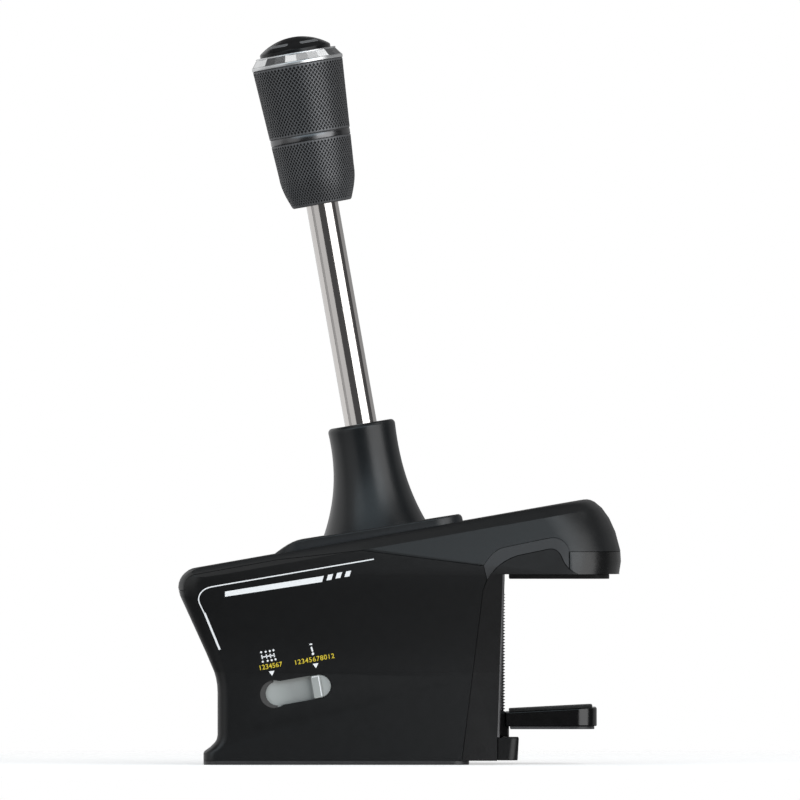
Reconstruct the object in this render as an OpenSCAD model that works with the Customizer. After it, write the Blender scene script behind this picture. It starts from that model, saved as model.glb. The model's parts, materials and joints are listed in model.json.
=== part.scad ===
// A desk-clamped sim racing gear shifter. The origin is the middle of the base plate's underside,
// +X points to the desk, +Z is up, and the photographed side faces -Y.

/* [Stance] */
// Angle at which the deck rises and the lever leans back, in degrees
deck_tilt = 10; // [9:0.25:11]
// Place of the lever along the base
lever_x = 21.8; // [20:0.1:24]
// Height of the deck where the lever leaves it
deck_z = 114.2; // [112:0.1:117]

/* [Housing] */
// Width of the body at its crease
body_w = 110; // [106:1:116]
// Width of the body at its waist
waist_w = 98; // [97:0.5:100]
// Width of the foot and of the base plate
foot_w = 98; // [97:0.5:104]
// Front edge of the foot and of the base plate
foot_x = -66.5; // [-69:0.5:-65]
// Front face at the waist
waist_x = -59.5; // [-61:0.5:-59]
// Lean of the front face, in degrees
front_lean = 24.5; // [22:0.5:27]
// Radius of the rounded brow in front of the deck
brow_r = 9.6; // [8.5:0.1:10.5]
// Corner radius of the waist in plan
waist_corner = 6; // [4:0.5:7]
// Corner radius of the brow in plan
brow_corner = 12; // [8:0.5:16]
// Radius of the deck's long edges
edge_r = 5.5; // [4:0.5:7]
// Height of the nose's rounded end, from the deck down
nose_h = 28; // [24:0.5:32]
// Length of the nose's rounded end
nose_len = 13.3; // [11:0.1:15]
// Corner radius of the nose in plan
nose_corner = 30; // [22:1:34]
// Wall of the plastic shells
wall = 2.5; // [2:0.1:3]
// Gap along the parting lines between shells
parting = 0.25; // [0.1:0.05:0.5]

/* [Base] */
// Thickness of the base plate
plate_t = 2; // [1.5:0.1:3]
// Spacing of the rig bolts along the base
rig_x = 100; // [96:1:104]
// Spacing of the rig bolts across the base
rig_y = 76; // [70:1:80]
// Radius of the rig bolt holes
rig_hole_r = 3; // [2.5:0.1:3.5]

/* [Lever] */
// Depth of the lever's pivot under the deck
pivot_depth = 30; // [29:0.5:32]
// Radius of the lever's shaft
shaft_r = 8; // [7:0.1:8.5]
// Height of the shroud's top above the deck, along the lever
shroud_top = 56.6; // [54:0.1:60]
// Radius of the shroud's neck
shroud_r = 16.8; // [15:0.1:18]
// Radius of the shroud's foot
shroud_foot_r = 25.8; // [24:0.1:26]
// Radius of the dust dome that turns about the pivot
dome_r = 42; // [41.5:0.1:42.5]
// Height of the knob's lower end above the deck, along the lever
knob_z = 168.2; // [164:0.1:174]
// Radius of the grip at its upper end
grip_r = 22.7; // [20:0.1:22.8]
// Radius of the faceted collar
collar_r = 23; // [21:0.1:25]
// Number of facets around the collar
collar_facets = 24; // [16:1:32]
// Height of the collar
collar_h = 6; // [5.5:0.1:7]
// Height of the domed cap above the collar
cap_h = 8; // [6:0.1:9]

/* [Gate] */
// Length of the selector finger below the pivot
finger_len = 62; // [61:0.5:63]
// Radius of the finger's pin
pin_r = 1.8; // [1.5:0.1:2]
// Angle between two lanes of the gate, in degrees
lane_angle = 6; // [5.5:0.1:6.5]
// Angle of the lever from neutral to a gear, in degrees
shift_angle = 8; // [7:0.1:8.5]
// Thickness of the gate plate
gate_t = 2; // [1.5:0.1:2.5]

/* [Mode switch] */
// Length of the mode window
window_l = 33.2; // [32:0.1:34]
// Height of the mode window
window_h = 11.9; // [10:0.1:13]
// Travel of the mode slider
slide_travel = 17.5; // [16:0.5:18]

/* [Clamp] */
// Underside of the fixed upper jaw
jaw_z = 95; // [93.5:0.5:96]
// Width of the jaws
clamp_w = 72; // [68:1:76]
// Place of the clamp screw along the base
screw_x = 80; // [79.6:0.1:80.4]
// Radius of the clamp screw's thread
screw_r = 4; // [3.5:0.1:4.2]
// Outer end of the lower jaw
jaw_end = 129.75; // [126:0.25:134]
// Travel of the lower jaw
jaw_travel = 50; // [44:0.5:50]
// Thickness of the upper pad
pad_t = 2.4; // [1.6:0.1:3]

/* [Hidden] */
$fn = 48;

// Clearances: a shaft in its bush, two fixed pieces that fit, and two pieces that slide
run_fit = 0.05;
fit = 0.05;
slide_gap = 0.3;
far = 400;

// The body's outline, as heights and lengths
function deck_top(x) = deck_z + (x - lever_x) * tan(deck_tilt);
brow_x = -69.5;
// The deck's long edges: depth and step in, in parts of the edge's size
edge_steps = [[-1, 0], [-0.36, 0.58], [-0.16, 0.8], [-0.04, 1], [0, 1.15]];
brow_cut = 0.06;
brow = [brow_x, deck_top(brow_x) - (brow_r - brow_cut) / cos(deck_tilt)];
lid_lip = 2.9;
outside = -100;
crease_mid = -29.5;
crease_peak = 12.5;
lip_z = plate_t + 3.9;
flare_z = lip_z + 9;
bend_h = 7;
// The front wall grows thicker downwards inside, by this part of it for each millimetre
draft = 0.004;
lean_z = 46;
lean_bow = 1.5;
crease_z = 95;
tangent = brow + brow_r * [-cos(front_lean), -sin(front_lean)];
bend_z = tangent[1] - (waist_x - tangent[0]) / tan(front_lean);
plate_end = 66;
kink_x = -8.7;
deck_end = 103.3;
panel_lean = 0.21;
taper = 0.0667;
edge_over = 0.2;
chin_tuck = 2.5;
chin_drop = 11;

// The clamp's column, its upper beam and the arch over it
col_foot_x = 62.5;
col_top = [73, 87];
arch_corner = [107.9, 10.4];
arch_r = 8;
arch_end = arch_corner[0] + arch_r;
arch_out = concat(curve([73.3, 4.4], [77.3, 11.9], [83, 13.5], 6), arc(arch_corner, arch_r, 101.4, 0, 7));
arch_knee = [113, 7];
arch_in = concat(curve([75, -2.6], [79.6, 6.2], [90.25, 9.6], 6),
    curve([106.3, 12.9], [110.9, 13.2], arch_knee, 5), curve(arch_knee, [114.9, 2.6], [120.5, 0], 5, 1));
chin_top = 11.35;
beam_end = 132;
beam_root = 106;
core_end = 124;
core_h = 19;
beam_foot = screw_x + 2.6;
upper_pad_end = 136;
pad_inset = 4;
pad_corner = 10;
beam_h = 8;
clamp_half = clamp_w / 2;
channel_half = 13;
channel_x = screw_x - 6.8;
carriage_half = channel_half - slide_gap;
carriage_z = 13.6;
carriage_h = 12.4;
carriage_front = 86;
foot_top = carriage_z - 0.4;
foot_end = 90.75;
foot_half = 30;
journal_r = 3;
thread_z = foot_top + 0.1;
thread_spare = 10;
thread_top = carriage_z + carriage_h + jaw_travel + thread_spare;
journal_top = thread_top + 6;
washer_t = 0.8;
washer_r = 5.5;
clip_z = 3.7;
screw_low = 2.6;
clip_t = 0.6;
clip_r = 4.6;
tongue_x = 42;
tongue_half = 24;
tongue_h = 5;
tongue_root = screw_x - 10;
seat_half = 20;
seat_low = 22;
seat_t = 0.6;
tab_x = [-75, -60];
tab_y = 44;
tab_t = 1.5;
tab_z = 88;
frame_screw_l = 5;

// The mechanism, in a frame that stands on the pivot and leans with the lever
gimbal_x = 24;
gimbal_y = 25;
gimbal_h = 7;
ring_wall = 8;
cheek_y = 27;
cheek_t = 4;
cheek_r = 11;
axle_r = 4;
gate_axle_r = 3.5;
bush_t = 1.5;
block_x = 13;
block_y = 14;
block_top = 22;
block_drop = 10;
finger_r = 5;
gate_z = finger_len - 3.25;
gate_half_x = 22;
gate_half_y = 26;
slot_half = pin_r + 0.55;
floor_t = 3;
cheek_foot = [0, 36];
cheek_out = 33;
cheek_in = 14;
cheek_toe = 60.6;
cheek_shoulder = 54.6;
cheek_step = 11;
bar_x = 20;
bar_z = -16;
magnet_r = 4;
magnet_t = 2;
board_t = 1.6;
dome_wall = 2;
dome_skirt = 72;
hub_z = 24;
wiper_r = 37;
dish_r = wiper_r + 1.8;
dish_rim = 1.2;
dish_room = dish_rim + 0.4;
wiper_z = 26;
wiper_t = 2.5;
bezel_front = -54;
bezel_rear = 41.75;
bezel_half = 46;
bezel_h = 4.9;
bezel_fall = 0.9;
bezel_corner = 14;
ramp_l = 15;
boot_lean = 1.65;
boot_foot = 4;
boot_h = shroud_top - boot_foot;
insert_r = 10.5;
grip_low_r = 14.8;
grip_mid_r = 19;
grip_flare = 16.3;
band = [200.6, 203.6];
band_cut = 0.3;
grip_top = 239;
shaft_sink = 14;
shaft_top = grip_top - shaft_sink;
dome_ball = 28.5;
stub_r = 12;
cap_sink = 4;
mark_count = 5;
mark_span = 46;
mark_from = -60;
mark_r = 13.7;
mark_w = 2.2;
mark_depth = 0.6;

// The mode window stands on the flat of the waist
window_at = [-19, -waist_w / 2, 37.4];
strip_t = 1.8;
strip_h = window_h + 4;
ridge_w = 4.6;
scoop_l = 2.8;
scoop_r = window_h / 2 + 1;
scoop_tilt = 18;
scoop_h = 6;
ridge_x = 9.24;
ridge_out = 1.2;
pad_in = 0.5;
rail_t = 3;
rail_d = 4.2;

boss_r = 4;
boss_side = waist_w / 2 - wall - boss_r + 0.8;
boss_front = waist_x + wall + boss_r - 0.8;
base_spots = concat([for (y = [-25, 25]) [boss_front, y]],
    [for (x = [-22, 26], y = [-1, 1]) [x, y * boss_side]]);
frame_spots = [for (x = [48, 58], y = [-15, 15]) [x, y]];
mech_spots = [for (x = [6, 30], y = [-18, 18]) [x, y]];
rig_spots = [for (x = [-1, 1], y = [-1, 1]) [x * rig_x / 2, y * rig_y / 2]];
gate_spots = [for (x = [-1, 1], y = [-1, 1]) [x * (gate_half_x - 4), y * (gate_half_y - 3)]];
board_spots = [for (x = [-43, -11], y = [-20, 20]) [x, y]];
board_z = 18;
board_from = [-48, -26];
board_l = 42;
usb_at = [-30, waist_w / 2 - 0.8, board_z + board_t];
screw_shank = 1.5;

// Points along an arc
function arc(c, r, a0, a1, n) =
    [for (i = [0:n]) let (a = a0 + (a1 - a0) * i / n) c + r * [cos(a), sin(a)]];
// Points along a bow from p to r that leaves and arrives in the direction of q
function curve(p, q, r, n, first = 0) =
    [for (i = [first:n]) let (t = i / n) (1 - t) * (1 - t) * p + 2 * t * (1 - t) * q + t * t * r];
function unit(t) = max(0, min(1, t));
function lift(points, dz) = [for (p = points) [p[0], p[1] + dz]];
function turned(points) = [for (i = [len(points) - 1:-1:0]) points[i]];

// Front face of the body at a height: foot, flare, waist, leaning face and brow
function front_x(z) =
    z <= lip_z ? foot_x :
    z < flare_z ? waist_x - (waist_x - foot_x) * pow(1 - (z - lip_z) / (flare_z - lip_z), 2) :
    z < bend_z - bend_h ? waist_x :
    z < bend_z + bend_h ? waist_x - tan(front_lean) * pow(z - bend_z + bend_h, 2) / (4 * bend_h) :
    z < tangent[1] ? tangent[0] + (tangent[1] - z) * tan(front_lean) :
    brow[0] - sqrt(max(0, brow_r * brow_r - pow(z - brow[1], 2)));
function half_w(z) =
    z <= lip_z ? foot_w / 2 :
    z < flare_z ? waist_w / 2 + (foot_w - waist_w) / 2 * pow(1 - (z - lip_z) / (flare_z - lip_z), 2) :
    waist_w / 2 + (body_w - waist_w) / 2 * pow(unit((z - lean_z) / (crease_z - lean_z)), lean_bow);
function corner_r(z) = waist_corner + (brow_corner - waist_corner) * unit((z - bend_z) / (brow[1] - bend_z));
function low_ring(z, d) = let (x = front_x(z) + d * (1 + draft * max(0, bend_z - z)),
        h = half_w(z) - d, r = max(corner_r(z) - d, 0.5))
    [for (p = concat([[far, -h], [far, h]], arc([x + r, h - r], r, 90, 180, 5),
        arc([x + r, r - h], r, 180, 270, 5))) [p[0], p[1], z]];
low_levels = concat([lip_z], [for (i = [1:4]) lip_z + i * (flare_z - lip_z) / 4],
    [for (i = [-2:2]) bend_z + i * bend_h / 2], [for (i = [0:4]) lean_z + i * (brow[1] - 5 - lean_z) / 4],
    [for (a = [-front_lean, 0, 13, 25, 35, 45, 53, 60, 70, 80]) brow[1] + brow_r * sin(a)], [far / 2]);

// Outline of the body in plan at a depth under the deck: rounded edges, tapering panels and nose
function nose_x(z) = z > -nose_h ? deck_end + nose_len * sqrt(1 - pow((z + nose_h) / nose_h, 2)) :
    deck_end + nose_len - chin_tuck * pow(unit((-nose_h - z) / chin_drop), 2);
function edge_in(z) = z > -edge_r ? edge_r * lookup(z / edge_r, edge_steps) : panel_lean * (edge_r + z);
function deck_ring(z, d) = let (x = nose_x(z) - d, r = nose_corner - d,
        front = body_w / 2 + edge_over - edge_in(z) - d,
        end = front - taper * (x - r - kink_x))
    [for (p = concat([[-far, -front], [kink_x, -front]], arc([x - r, r - end], r, -90, 0, 8),
        arc([x - r, end - r], r, 0, 90, 8), [[kink_x, front], [-far, front]])) [p[0], p[1], z - d]];
deck_levels = concat([-far / 2, -nose_h - chin_drop, -nose_h - chin_drop / 2, -nose_h, -nose_h * 0.66],
    [-nose_h * 0.4], [for (s = edge_steps) edge_r * s[0]]);

// Back of the housing, which leans along the clamp's column
function col_x(z) = col_foot_x + (col_top[0] - col_foot_x) * (z - plate_t) / (col_top[1] - plate_t);
arch_line = lift(arch_out, jaw_z);
beam_line = lift(arch_in, jaw_z);
beam_tip = beam_line[len(beam_line) - 1];
crease = concat([[outside, brow[1] - 4.3]], arc(brow, brow_r - lid_lip, 190, 100, 6),
    [[crease_mid, deck_top(crease_mid) - edge_r / 2], [crease_peak, deck_top(crease_peak) - edge_r]]);

// Frames that the pieces are drawn in
module at_deck() { translate([lever_x, 0, deck_z]) rotate([0, -deck_tilt, 0]) children(); }
module at_pivot() { at_deck() translate([0, 0, -pivot_depth]) children(); }
module at_window() { translate(window_at) rotate([0, -deck_tilt, 0]) children(); }
module along_x() { rotate([0, 90, 0]) children(); }
module along_y() { rotate([-90, 0, 0]) children(); }
module both_sides() { children(); mirror([0, 1, 0]) children(); }

// Helpers: a skin over stacked outlines, a side profile, a tube and a plate with round corners
module loft(rings) {
    n = len(rings[0]);
    m = len(rings);
    sides = [for (k = [0:m - 2], j = [0:n - 1]) let (a = k * n + j, b = k * n + (j + 1) % n)
        each [[a, b + n, b], [a, a + n, b + n]]];
    caps = [[for (j = [0:n - 1]) j], [for (j = [n - 1:-1:0]) (m - 1) * n + j]];
    polyhedron([for (r = rings) each r], concat(sides, caps));
}
module side(points, width) {
    rotate([90, 0, 0]) linear_extrude(width, center = true) polygon(points);
}
module tube(r_out, r_in, h) {
    difference() {
        cylinder(r = r_out, h = h);
        translate([0, 0, -1]) cylinder(r = r_in, h = h + 2);
    }
}
module round_plan(x0, x1, half, r) {
    translate([x0 + r, -half]) square([x1 - x0 - 2 * r, 2 * half]);
    translate([x0, r - half]) square([x1 - x0, 2 * (half - r)]);
    for (x = [x0 + r, x1 - r], y = [r - half, half - r]) translate([x, y]) circle(r);
}
module round_end(x0, x1, half, r) {
    translate([x0, -half]) square([x1 - x0 - r, 2 * half]);
    translate([x0, r - half]) square([x1 - x0, 2 * (half - r)]);
    for (y = [r - half, half - r]) translate([x1 - r, y]) circle(r);
}
module slot(half_l, half_h) {
    square([2 * (half_l - half_h), 2 * half_h], center = true);
    for (x = [-1, 1]) translate([x * (half_l - half_h), 0]) circle(half_h);
}
// A countersunk screw up through the base plate; grow widens it into its own hole
module sunk_screw(length, grow) {
    translate([0, 0, 0.1 - grow]) cylinder(r1 = 2 * screw_shank + grow, r2 = screw_shank + grow, h = 1.5);
    translate([0, 0, 0.1 - grow]) cylinder(r = screw_shank + grow, h = length + 2 * grow);
}
module sunk_screws(spots, length, grow = 0) { for (p = spots) translate(p) sunk_screw(length, grow); }

// The moulded body, d inside its outer face
module body(d = 0) {
    intersection() {
        loft([for (z = concat([d > 0 ? 0 : plate_t], low_levels)) low_ring(z, d)]);
        at_deck() loft([for (z = deck_levels) deck_ring(z, d)]);
    }
}
module base_plate() {
    color("dimgray") difference() {
        linear_extrude(plate_t) round_plan(foot_x, plate_end, foot_w / 2, 8);
        for (p = rig_spots) translate([p[0], p[1], -1]) cylinder(r = rig_hole_r, h = plate_t + 2);
        sunk_screws(base_spots, 10, fit);
        sunk_screws(frame_spots, 10, fit);
        sunk_screws(mech_spots, 10, fit);
    }
}
module lower_housing() {
    low = lift(crease, -parting);
    rear = [arch_line[0] - [parting, parting], beam_line[0] - [parting, 0], col_top - [parting, 0],
        [col_x(plate_t) - parting, plate_t]];
    color("#1b1c1e") difference() {
        union() {
            difference() {
                intersection() {
                    body();
                    side(concat(low, rear, [[outside, plate_t]]), far);
                }
                intersection() {
                    body(wall);
                    side(concat([[outside, far]], [for (p = rear) p - [wall, 0]], [[outside, plate_t]]), far);
                }
            }
            intersection() {
                for (p = base_spots) translate([p[0], p[1], plate_t])
                    cylinder(r = boss_r, h = board_z - plate_t);
                body(wall / 2);
            }
            slide_rails();
        }
        sunk_screws(base_spots, 10, fit);
        at_window() along_y() window_cut();
        translate(usb_at + [0, -wall, 1.6]) along_y() linear_extrude(3 * wall) slot(5.2, 2.2);
        translate([col_foot_x - 2 * wall, -tongue_half - slide_gap, 0])
            cube([4 * wall, 2 * (tongue_half + slide_gap), plate_t + tongue_h + slide_gap]);
    }
}
// The mode window and the shallow thumb scoop at its front end
module window_cut() {
    translate([0, 0, -wall]) linear_extrude(2.5 * wall) slot(window_l / 2, window_h / 2);
    translate([-window_l / 2 - scoop_l, 0, 0]) rotate([0, -scoop_tilt, 0])
        translate([scoop_r, 0, -scoop_h]) cylinder(r = scoop_r, h = scoop_h);
}
// Two rails inside the side wall that hold the slider's strip
module slide_rails() {
    inner = strip_h / 2 + slide_gap;
    long = window_l + 2 * slide_travel + 4;
    intersection() {
        at_window() for (s = [-1, 1])
            translate([-long / 2, wall - 0.2, s * (inner + rail_t / 2) - rail_t / 2]) {
            cube([long, rail_d + 0.2, rail_t]);
            translate([0, strip_t + 2 * slide_gap + 0.2, -s * 1.2])
                cube([long, rail_d - strip_t - 2 * slide_gap, rail_t]);
        }
        body(wall / 2);
    }
}
module top_cover() {
    seam = concat(crease, arch_line, [[arch_end, jaw_z + chin_top], [far, jaw_z + chin_top], [far, far],
        [outside, far]]);
    color("#1f2022") difference() {
        intersection() {
            body();
            side(seam, far);
        }
        body(wall);
        at_deck() translate([0, 0, -far / 2]) cylinder(r = dish_r + dish_room, h = far);
    }
    // Two tabs behind the seam at the brow
    color("#1f2022") intersection() {
        body(wall / 2);
        both_sides() translate([tab_x[0], tab_y, tab_z]) cube([tab_x[1] - tab_x[0], tab_t, far]);
    }
}
module jaw_arch() {
    color("#242527") difference() {
        intersection() {
            body();
            end = arch_end - parting;
            side(concat([for (p = lift(arch_line, -parting)) [min(p[0], end), p[1]]],
                [[end, lookup(end, beam_line)]], turned([for (p = beam_line) if (p[0] < end) p])), far);
        }
        beam_room();
    }
    // A pad that stands against the housing and keeps light out of the seam
    top = arch_line[0] - [parting - fit, parting];
    drop = beam_line[0] - arch_line[0];
    side([top + drop / 10, top + drop * 0.7, top + drop * 0.7 + [seat_t, 0], top + drop / 10 + [seat_t, 0]],
        2 * seat_half);
}
// Room in the arch and the chin for the beam and the core on it
module beam_room() {
    for (s = [[beam_end, beam_h], [core_end, core_h]])
        translate([beam_root - 1, -clamp_half - parting, jaw_z - 5])
            cube([s[0] + parting - beam_root + 1, clamp_w + 2 * parting, s[1] + 5 + parting]);
}
module nose_chin() {
    color("#1b1c1e") difference() {
        intersection() {
            body();
            top = jaw_z + chin_top - parting;
            start = arch_end + parting;
            side(concat([[start, top], [far, top], [far, jaw_z]],
                turned([for (p = beam_line) if (p[0] > start) p]), [[start, lookup(start, beam_line)]]), far);
        }
        beam_room();
    }
}
// The casting: its column is flush with the body, and its beam runs on inside the chin
module clamp_frame() {
    top = [for (p = lift(beam_line, -parting)) if (p[0] < beam_tip[0]) p];
    column = concat([[col_x(plate_t), plate_t], col_top], top, [beam_tip - [parting, 0], [beam_foot, jaw_z],
        [beam_foot, jaw_z - pad_t], [screw_x, carriage_z], [screw_x, plate_t]]);
    low = [col_x(seat_low) - parting + fit, seat_low];
    high = col_top - [parting - fit, 0];
    color("#2a2b2d") difference() {
        union() {
            intersection() {
                body();
                side(column, far);
            }
            side([[beam_root, jaw_z], [beam_root, jaw_z + core_h], [core_end, jaw_z + core_h],
                [core_end, jaw_z + beam_h], [beam_end, jaw_z + beam_h], [beam_end, jaw_z]], clamp_w);
            side([low, high, high + [seat_t, 0], low + [seat_t, 0]], 2 * seat_half);
            translate([tongue_x, -tongue_half, plate_t])
                cube([tongue_root - tongue_x, 2 * tongue_half, tongue_h]);
        }
        translate([channel_x, -channel_half, 0]) cube([20, 2 * channel_half, thread_top]);
        translate([screw_x, 0, 0]) cylinder(r = journal_r + run_fit, h = journal_top + 1);
        sunk_screws(frame_spots, frame_screw_l, fit);
        foot_bolts(fit);
    }
}
module foot_block() {
    color("#1b1c1e") difference() {
        union() {
            intersection() {
                translate([0, 0, plate_t]) linear_extrude(foot_top - plate_t)
                    round_end(screw_x + parting, foot_end, foot_half, 5);
                side([[screw_x, 0], [foot_end, 0], [foot_end - 0.8, foot_top], [screw_x, foot_top]], far);
            }
            translate([channel_x + slide_gap, -carriage_half, plate_t])
                cube([screw_x - channel_x + 2, 2 * carriage_half, foot_top - plate_t]);
        }
        translate([screw_x, 0, 0]) {
            cylinder(r = journal_r + run_fit, h = far);
            cylinder(r = clip_r + slide_gap, h = clip_z + clip_t + 0.1);
            translate([0, 0, foot_top - washer_t]) cylinder(r = washer_r + fit, h = 5);
        }
        foot_bolts(fit);
    }
}
// Two cap screws that hold the foot block to the column
module foot_bolts(grow) {
    for (y = [-20, 20]) translate([0, y, (plate_t + foot_top) / 2]) along_x() {
        translate([0, 0, screw_x - 9 - grow]) cylinder(r = 2 + grow, h = 17);
        translate([0, 0, screw_x + 7]) cylinder(r = 3.5 + grow, h = grow > 0 ? 10 : 3);
    }
}
module foot_screws() { color("#3a3b3d") foot_bolts(0); }
module upper_pad() {
    color("#141414") translate([0, 0, jaw_z - pad_t]) linear_extrude(pad_t)
        round_end(carriage_front, upper_pad_end, clamp_half - pad_inset, pad_corner);
}
// The bezel: a mound on the deck that falls a little to the rear, with a dish for the dome
module bezel() {
    ramp = [for (a = [0:15:90]) [bezel_front + ramp_l * a / 90, bezel_h * sin(a)]];
    end = bezel_h - (bezel_rear - bezel_front - ramp_l) * tan(bezel_fall);
    color("#17181a") at_deck() difference() {
        union() {
            intersection() {
                side(concat(ramp, [[bezel_rear - 2, end]], arc([bezel_rear - 2, end - 2], 2, 90, 0, 4),
                    [[bezel_rear, 0]]), far);
                linear_extrude(20) round_plan(bezel_front, bezel_rear, bezel_half, bezel_corner);
            }
            translate([0, 0, wiper_z - wiper_t - pivot_depth])
                cylinder(r = dish_r + dish_rim, h = wiper_t + 6);
        }
        translate([0, 0, -10]) cylinder(r = wiper_r, h = 30);
        translate([0, 0, wiper_z - pivot_depth]) cylinder(r1 = wiper_r, r2 = dish_r + 1, h = 10);
    }
}
module wiper_ring() {
    low = wiper_z - wiper_t;
    color("#101010") at_pivot() rotate_extrude() polygon([[wiper_r - fit, low], [wiper_r - fit, wiper_z],
        [sqrt(pow(dome_r + slide_gap, 2) - wiper_z * wiper_z) + 0.1, wiper_z],
        [sqrt(pow(dome_r + slide_gap, 2) - low * low) + 0.1, low]]);
}
module mechanism_frame() {
    top = deck_z - pivot_depth * cos(deck_tilt);
    px = lever_x + pivot_depth * sin(deck_tilt);
    toe = top - cheek_toe;
    shoulder = top - cheek_shoulder;
    color("#9a9da1") difference() {
        union() {
            translate([cheek_foot[0], -cheek_y - cheek_t, plate_t])
                cube([cheek_foot[1] - cheek_foot[0], 2 * (cheek_y + cheek_t), floor_t]);
            both_sides() {
                translate([0, cheek_y + cheek_t / 2, 0]) side(concat([[cheek_foot[0], plate_t],
                    [cheek_foot[1], plate_t], [px + cheek_out, toe], [px + cheek_out, toe + cheek_step]],
                    arc([px, top], cheek_r, 0, 180, 12),
                    [[px - cheek_in, shoulder], [cheek_foot[0], shoulder - cheek_step]]), cheek_t);
                at_pivot() translate([-gate_half_x, gate_half_y - 6, -gate_z - gate_t - 5])
                    cube([2 * gate_half_x, cheek_y - gate_half_y + 7, 5]);
            }
            at_pivot() for (s = [-1, 1]) translate([s * bar_x - 5, -cheek_y - 1, bar_z - 4])
                cube([10, 2 * cheek_y + 2, 4]);
        }
        at_pivot() translate([0, -far / 2, 0]) along_y() cylinder(r = axle_r + bush_t + fit, h = far);
        sunk_screws(mech_spots, 2, fit);
        at_pivot() gate_bolts(fit);
    }
}
// The H gate: four lanes at lane_angle, crossed by the neutral channel
module gate_plate() {
    reach = gate_z * tan(shift_angle) + slot_half;
    lanes = [for (i = [-1:2]) gate_z * tan(i * lane_angle)];
    color("#b8bbbf") at_pivot() translate([0, 0, -gate_z - gate_t]) difference() {
        linear_extrude(gate_t) difference() {
            translate([-gate_half_x, -gate_half_y]) square(2 * [gate_half_x, gate_half_y]);
            for (y = lanes) translate([0, y]) slot(reach, slot_half);
            translate([-slot_half, lanes[0]]) square([2 * slot_half, lanes[3] - lanes[0]]);
        }
        translate([0, 0, gate_z + gate_t]) gate_bolts(fit);
    }
}
module gate_bolts(grow) {
    for (p = gate_spots) translate([p[0], p[1], -gate_z]) {
        translate([0, 0, -gate_t - 4 - grow]) cylinder(r = screw_shank + grow, h = gate_t + 4 + 2 * grow);
        if (grow == 0) cylinder(r = 2.75, h = 1.6);
    }
}
module gate_screws() { color("#3a3b3d") at_pivot() gate_bolts(0); }
module shift_bushes() {
    color("#b08d57") at_pivot() both_sides() translate([0, cheek_y - 0.6, 0]) along_y() {
        tube(axle_r + bush_t, axle_r + run_fit, cheek_t + 0.6);
        tube(axle_r + bush_t + 1.5, axle_r + run_fit, 0.6);
    }
}
module shift_axles() {
    color("silver") at_pivot() both_sides() translate([0, gimbal_y - ring_wall + 1, 0])
        along_y() cylinder(r = axle_r, h = cheek_y + cheek_t + 1.5 - gimbal_y + ring_wall - 1);
}
module shift_magnet() {
    color("gray") at_pivot() translate([0, cheek_y + cheek_t + 1.5, 0]) along_y()
        cylinder(r = 3, h = magnet_t);
}
sensor_y = cheek_y + cheek_t + 5;
module sensor_posts() {
    color("#c9a94f") at_pivot() for (x = [-8, 8]) translate([x, cheek_y + cheek_t, -6]) along_y()
        cylinder(r = 2, h = sensor_y - cheek_y - cheek_t);
}
module shift_sensor_pcb() {
    color("darkgreen") at_pivot() translate([-11, sensor_y, -9]) cube([22, board_t, 15]);
}
module gimbal() {
    color("#6f7479") at_pivot() difference() {
        union() {
            translate([-gimbal_x, -gimbal_y, -gimbal_h]) cube(2 * [gimbal_x, gimbal_y, gimbal_h]);
            for (y = [-9, 9]) translate([-gimbal_x - 5.5, y, 0]) along_x() cylinder(r = 2.5, h = 6);
        }
        translate([ring_wall - gimbal_x, ring_wall - gimbal_y, -gimbal_h - 1])
            cube(2 * [gimbal_x - ring_wall, gimbal_y - ring_wall, gimbal_h + 1]);
        translate([0, -far / 2, 0]) along_y() cylinder(r = axle_r + fit, h = far);
        translate([-far / 2, 0, 0]) along_x() cylinder(r = gate_axle_r + bush_t + fit, h = far);
    }
}
module gimbal_magnets() {
    color("gray") at_pivot() for (s = [-1, 1]) translate([s * bar_x, 0, -gimbal_h - magnet_t])
        cylinder(r = magnet_r - 0.5, h = magnet_t);
}
module frame_magnets() {
    color("gray") at_pivot() for (s = [-1, 1]) translate([s * bar_x, 0, bar_z])
        cylinder(r = magnet_r, h = magnet_t);
}
module gate_bushes() {
    color("#b08d57") at_pivot() for (s = [0, 180]) rotate([0, 0, s]) translate([gimbal_x - ring_wall, 0, 0])
        along_x() tube(gate_axle_r + bush_t, gate_axle_r + run_fit, ring_wall);
}
module gate_axle() {
    color("silver") at_pivot() translate([-gimbal_x - 1, 0, 0]) along_x()
        cylinder(r = gate_axle_r, h = 2 * gimbal_x + 1);
}
module gate_magnet() {
    color("gray") at_pivot() translate([-gimbal_x - 3, 0, 0]) along_x() cylinder(r = 3, h = magnet_t);
}
module gate_sensor_pcb() {
    color("darkgreen") at_pivot() translate([-gimbal_x - 5.5 - board_t, -13, -6]) cube([board_t, 26, 12]);
}
module pivot_block() {
    color("#85898e") at_pivot() difference() {
        union() {
            translate([-block_x, -block_y, -block_drop]) cube([2 * block_x, 2 * block_y, block_drop + 12]);
            cylinder(r = block_x, h = block_top);
        }
        translate([0, 0, 5]) cylinder(r = shaft_r + fit, h = far);
        translate([-far / 2, 0, 0]) along_x() cylinder(r = gate_axle_r + fit, h = far);
        translate([0, 0, -far]) cylinder(r = finger_r - 1 + fit, h = far - gate_axle_r - 1);
        translate([0, 0, 17]) along_y() cylinder(r = 2.5 + fit, h = far);
    }
}
module lever_set_screw() {
    color("#3a3b3d") at_pivot() translate([0, shaft_r + fit, 17]) along_y()
        cylinder(r = 2.5, h = block_x - shaft_r - 0.5);
}
module finger() {
    top = -gate_axle_r - 1.2;
    neck = -gate_z + 6;
    color("silver") at_pivot() rotate_extrude() polygon([[0, top], [finger_r - 1, top],
        [finger_r - 1, -block_drop], [finger_r, -block_drop], [finger_r, neck + 4],
        [pin_r, neck], [pin_r, -finger_len], [0, -finger_len]]);
}
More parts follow.
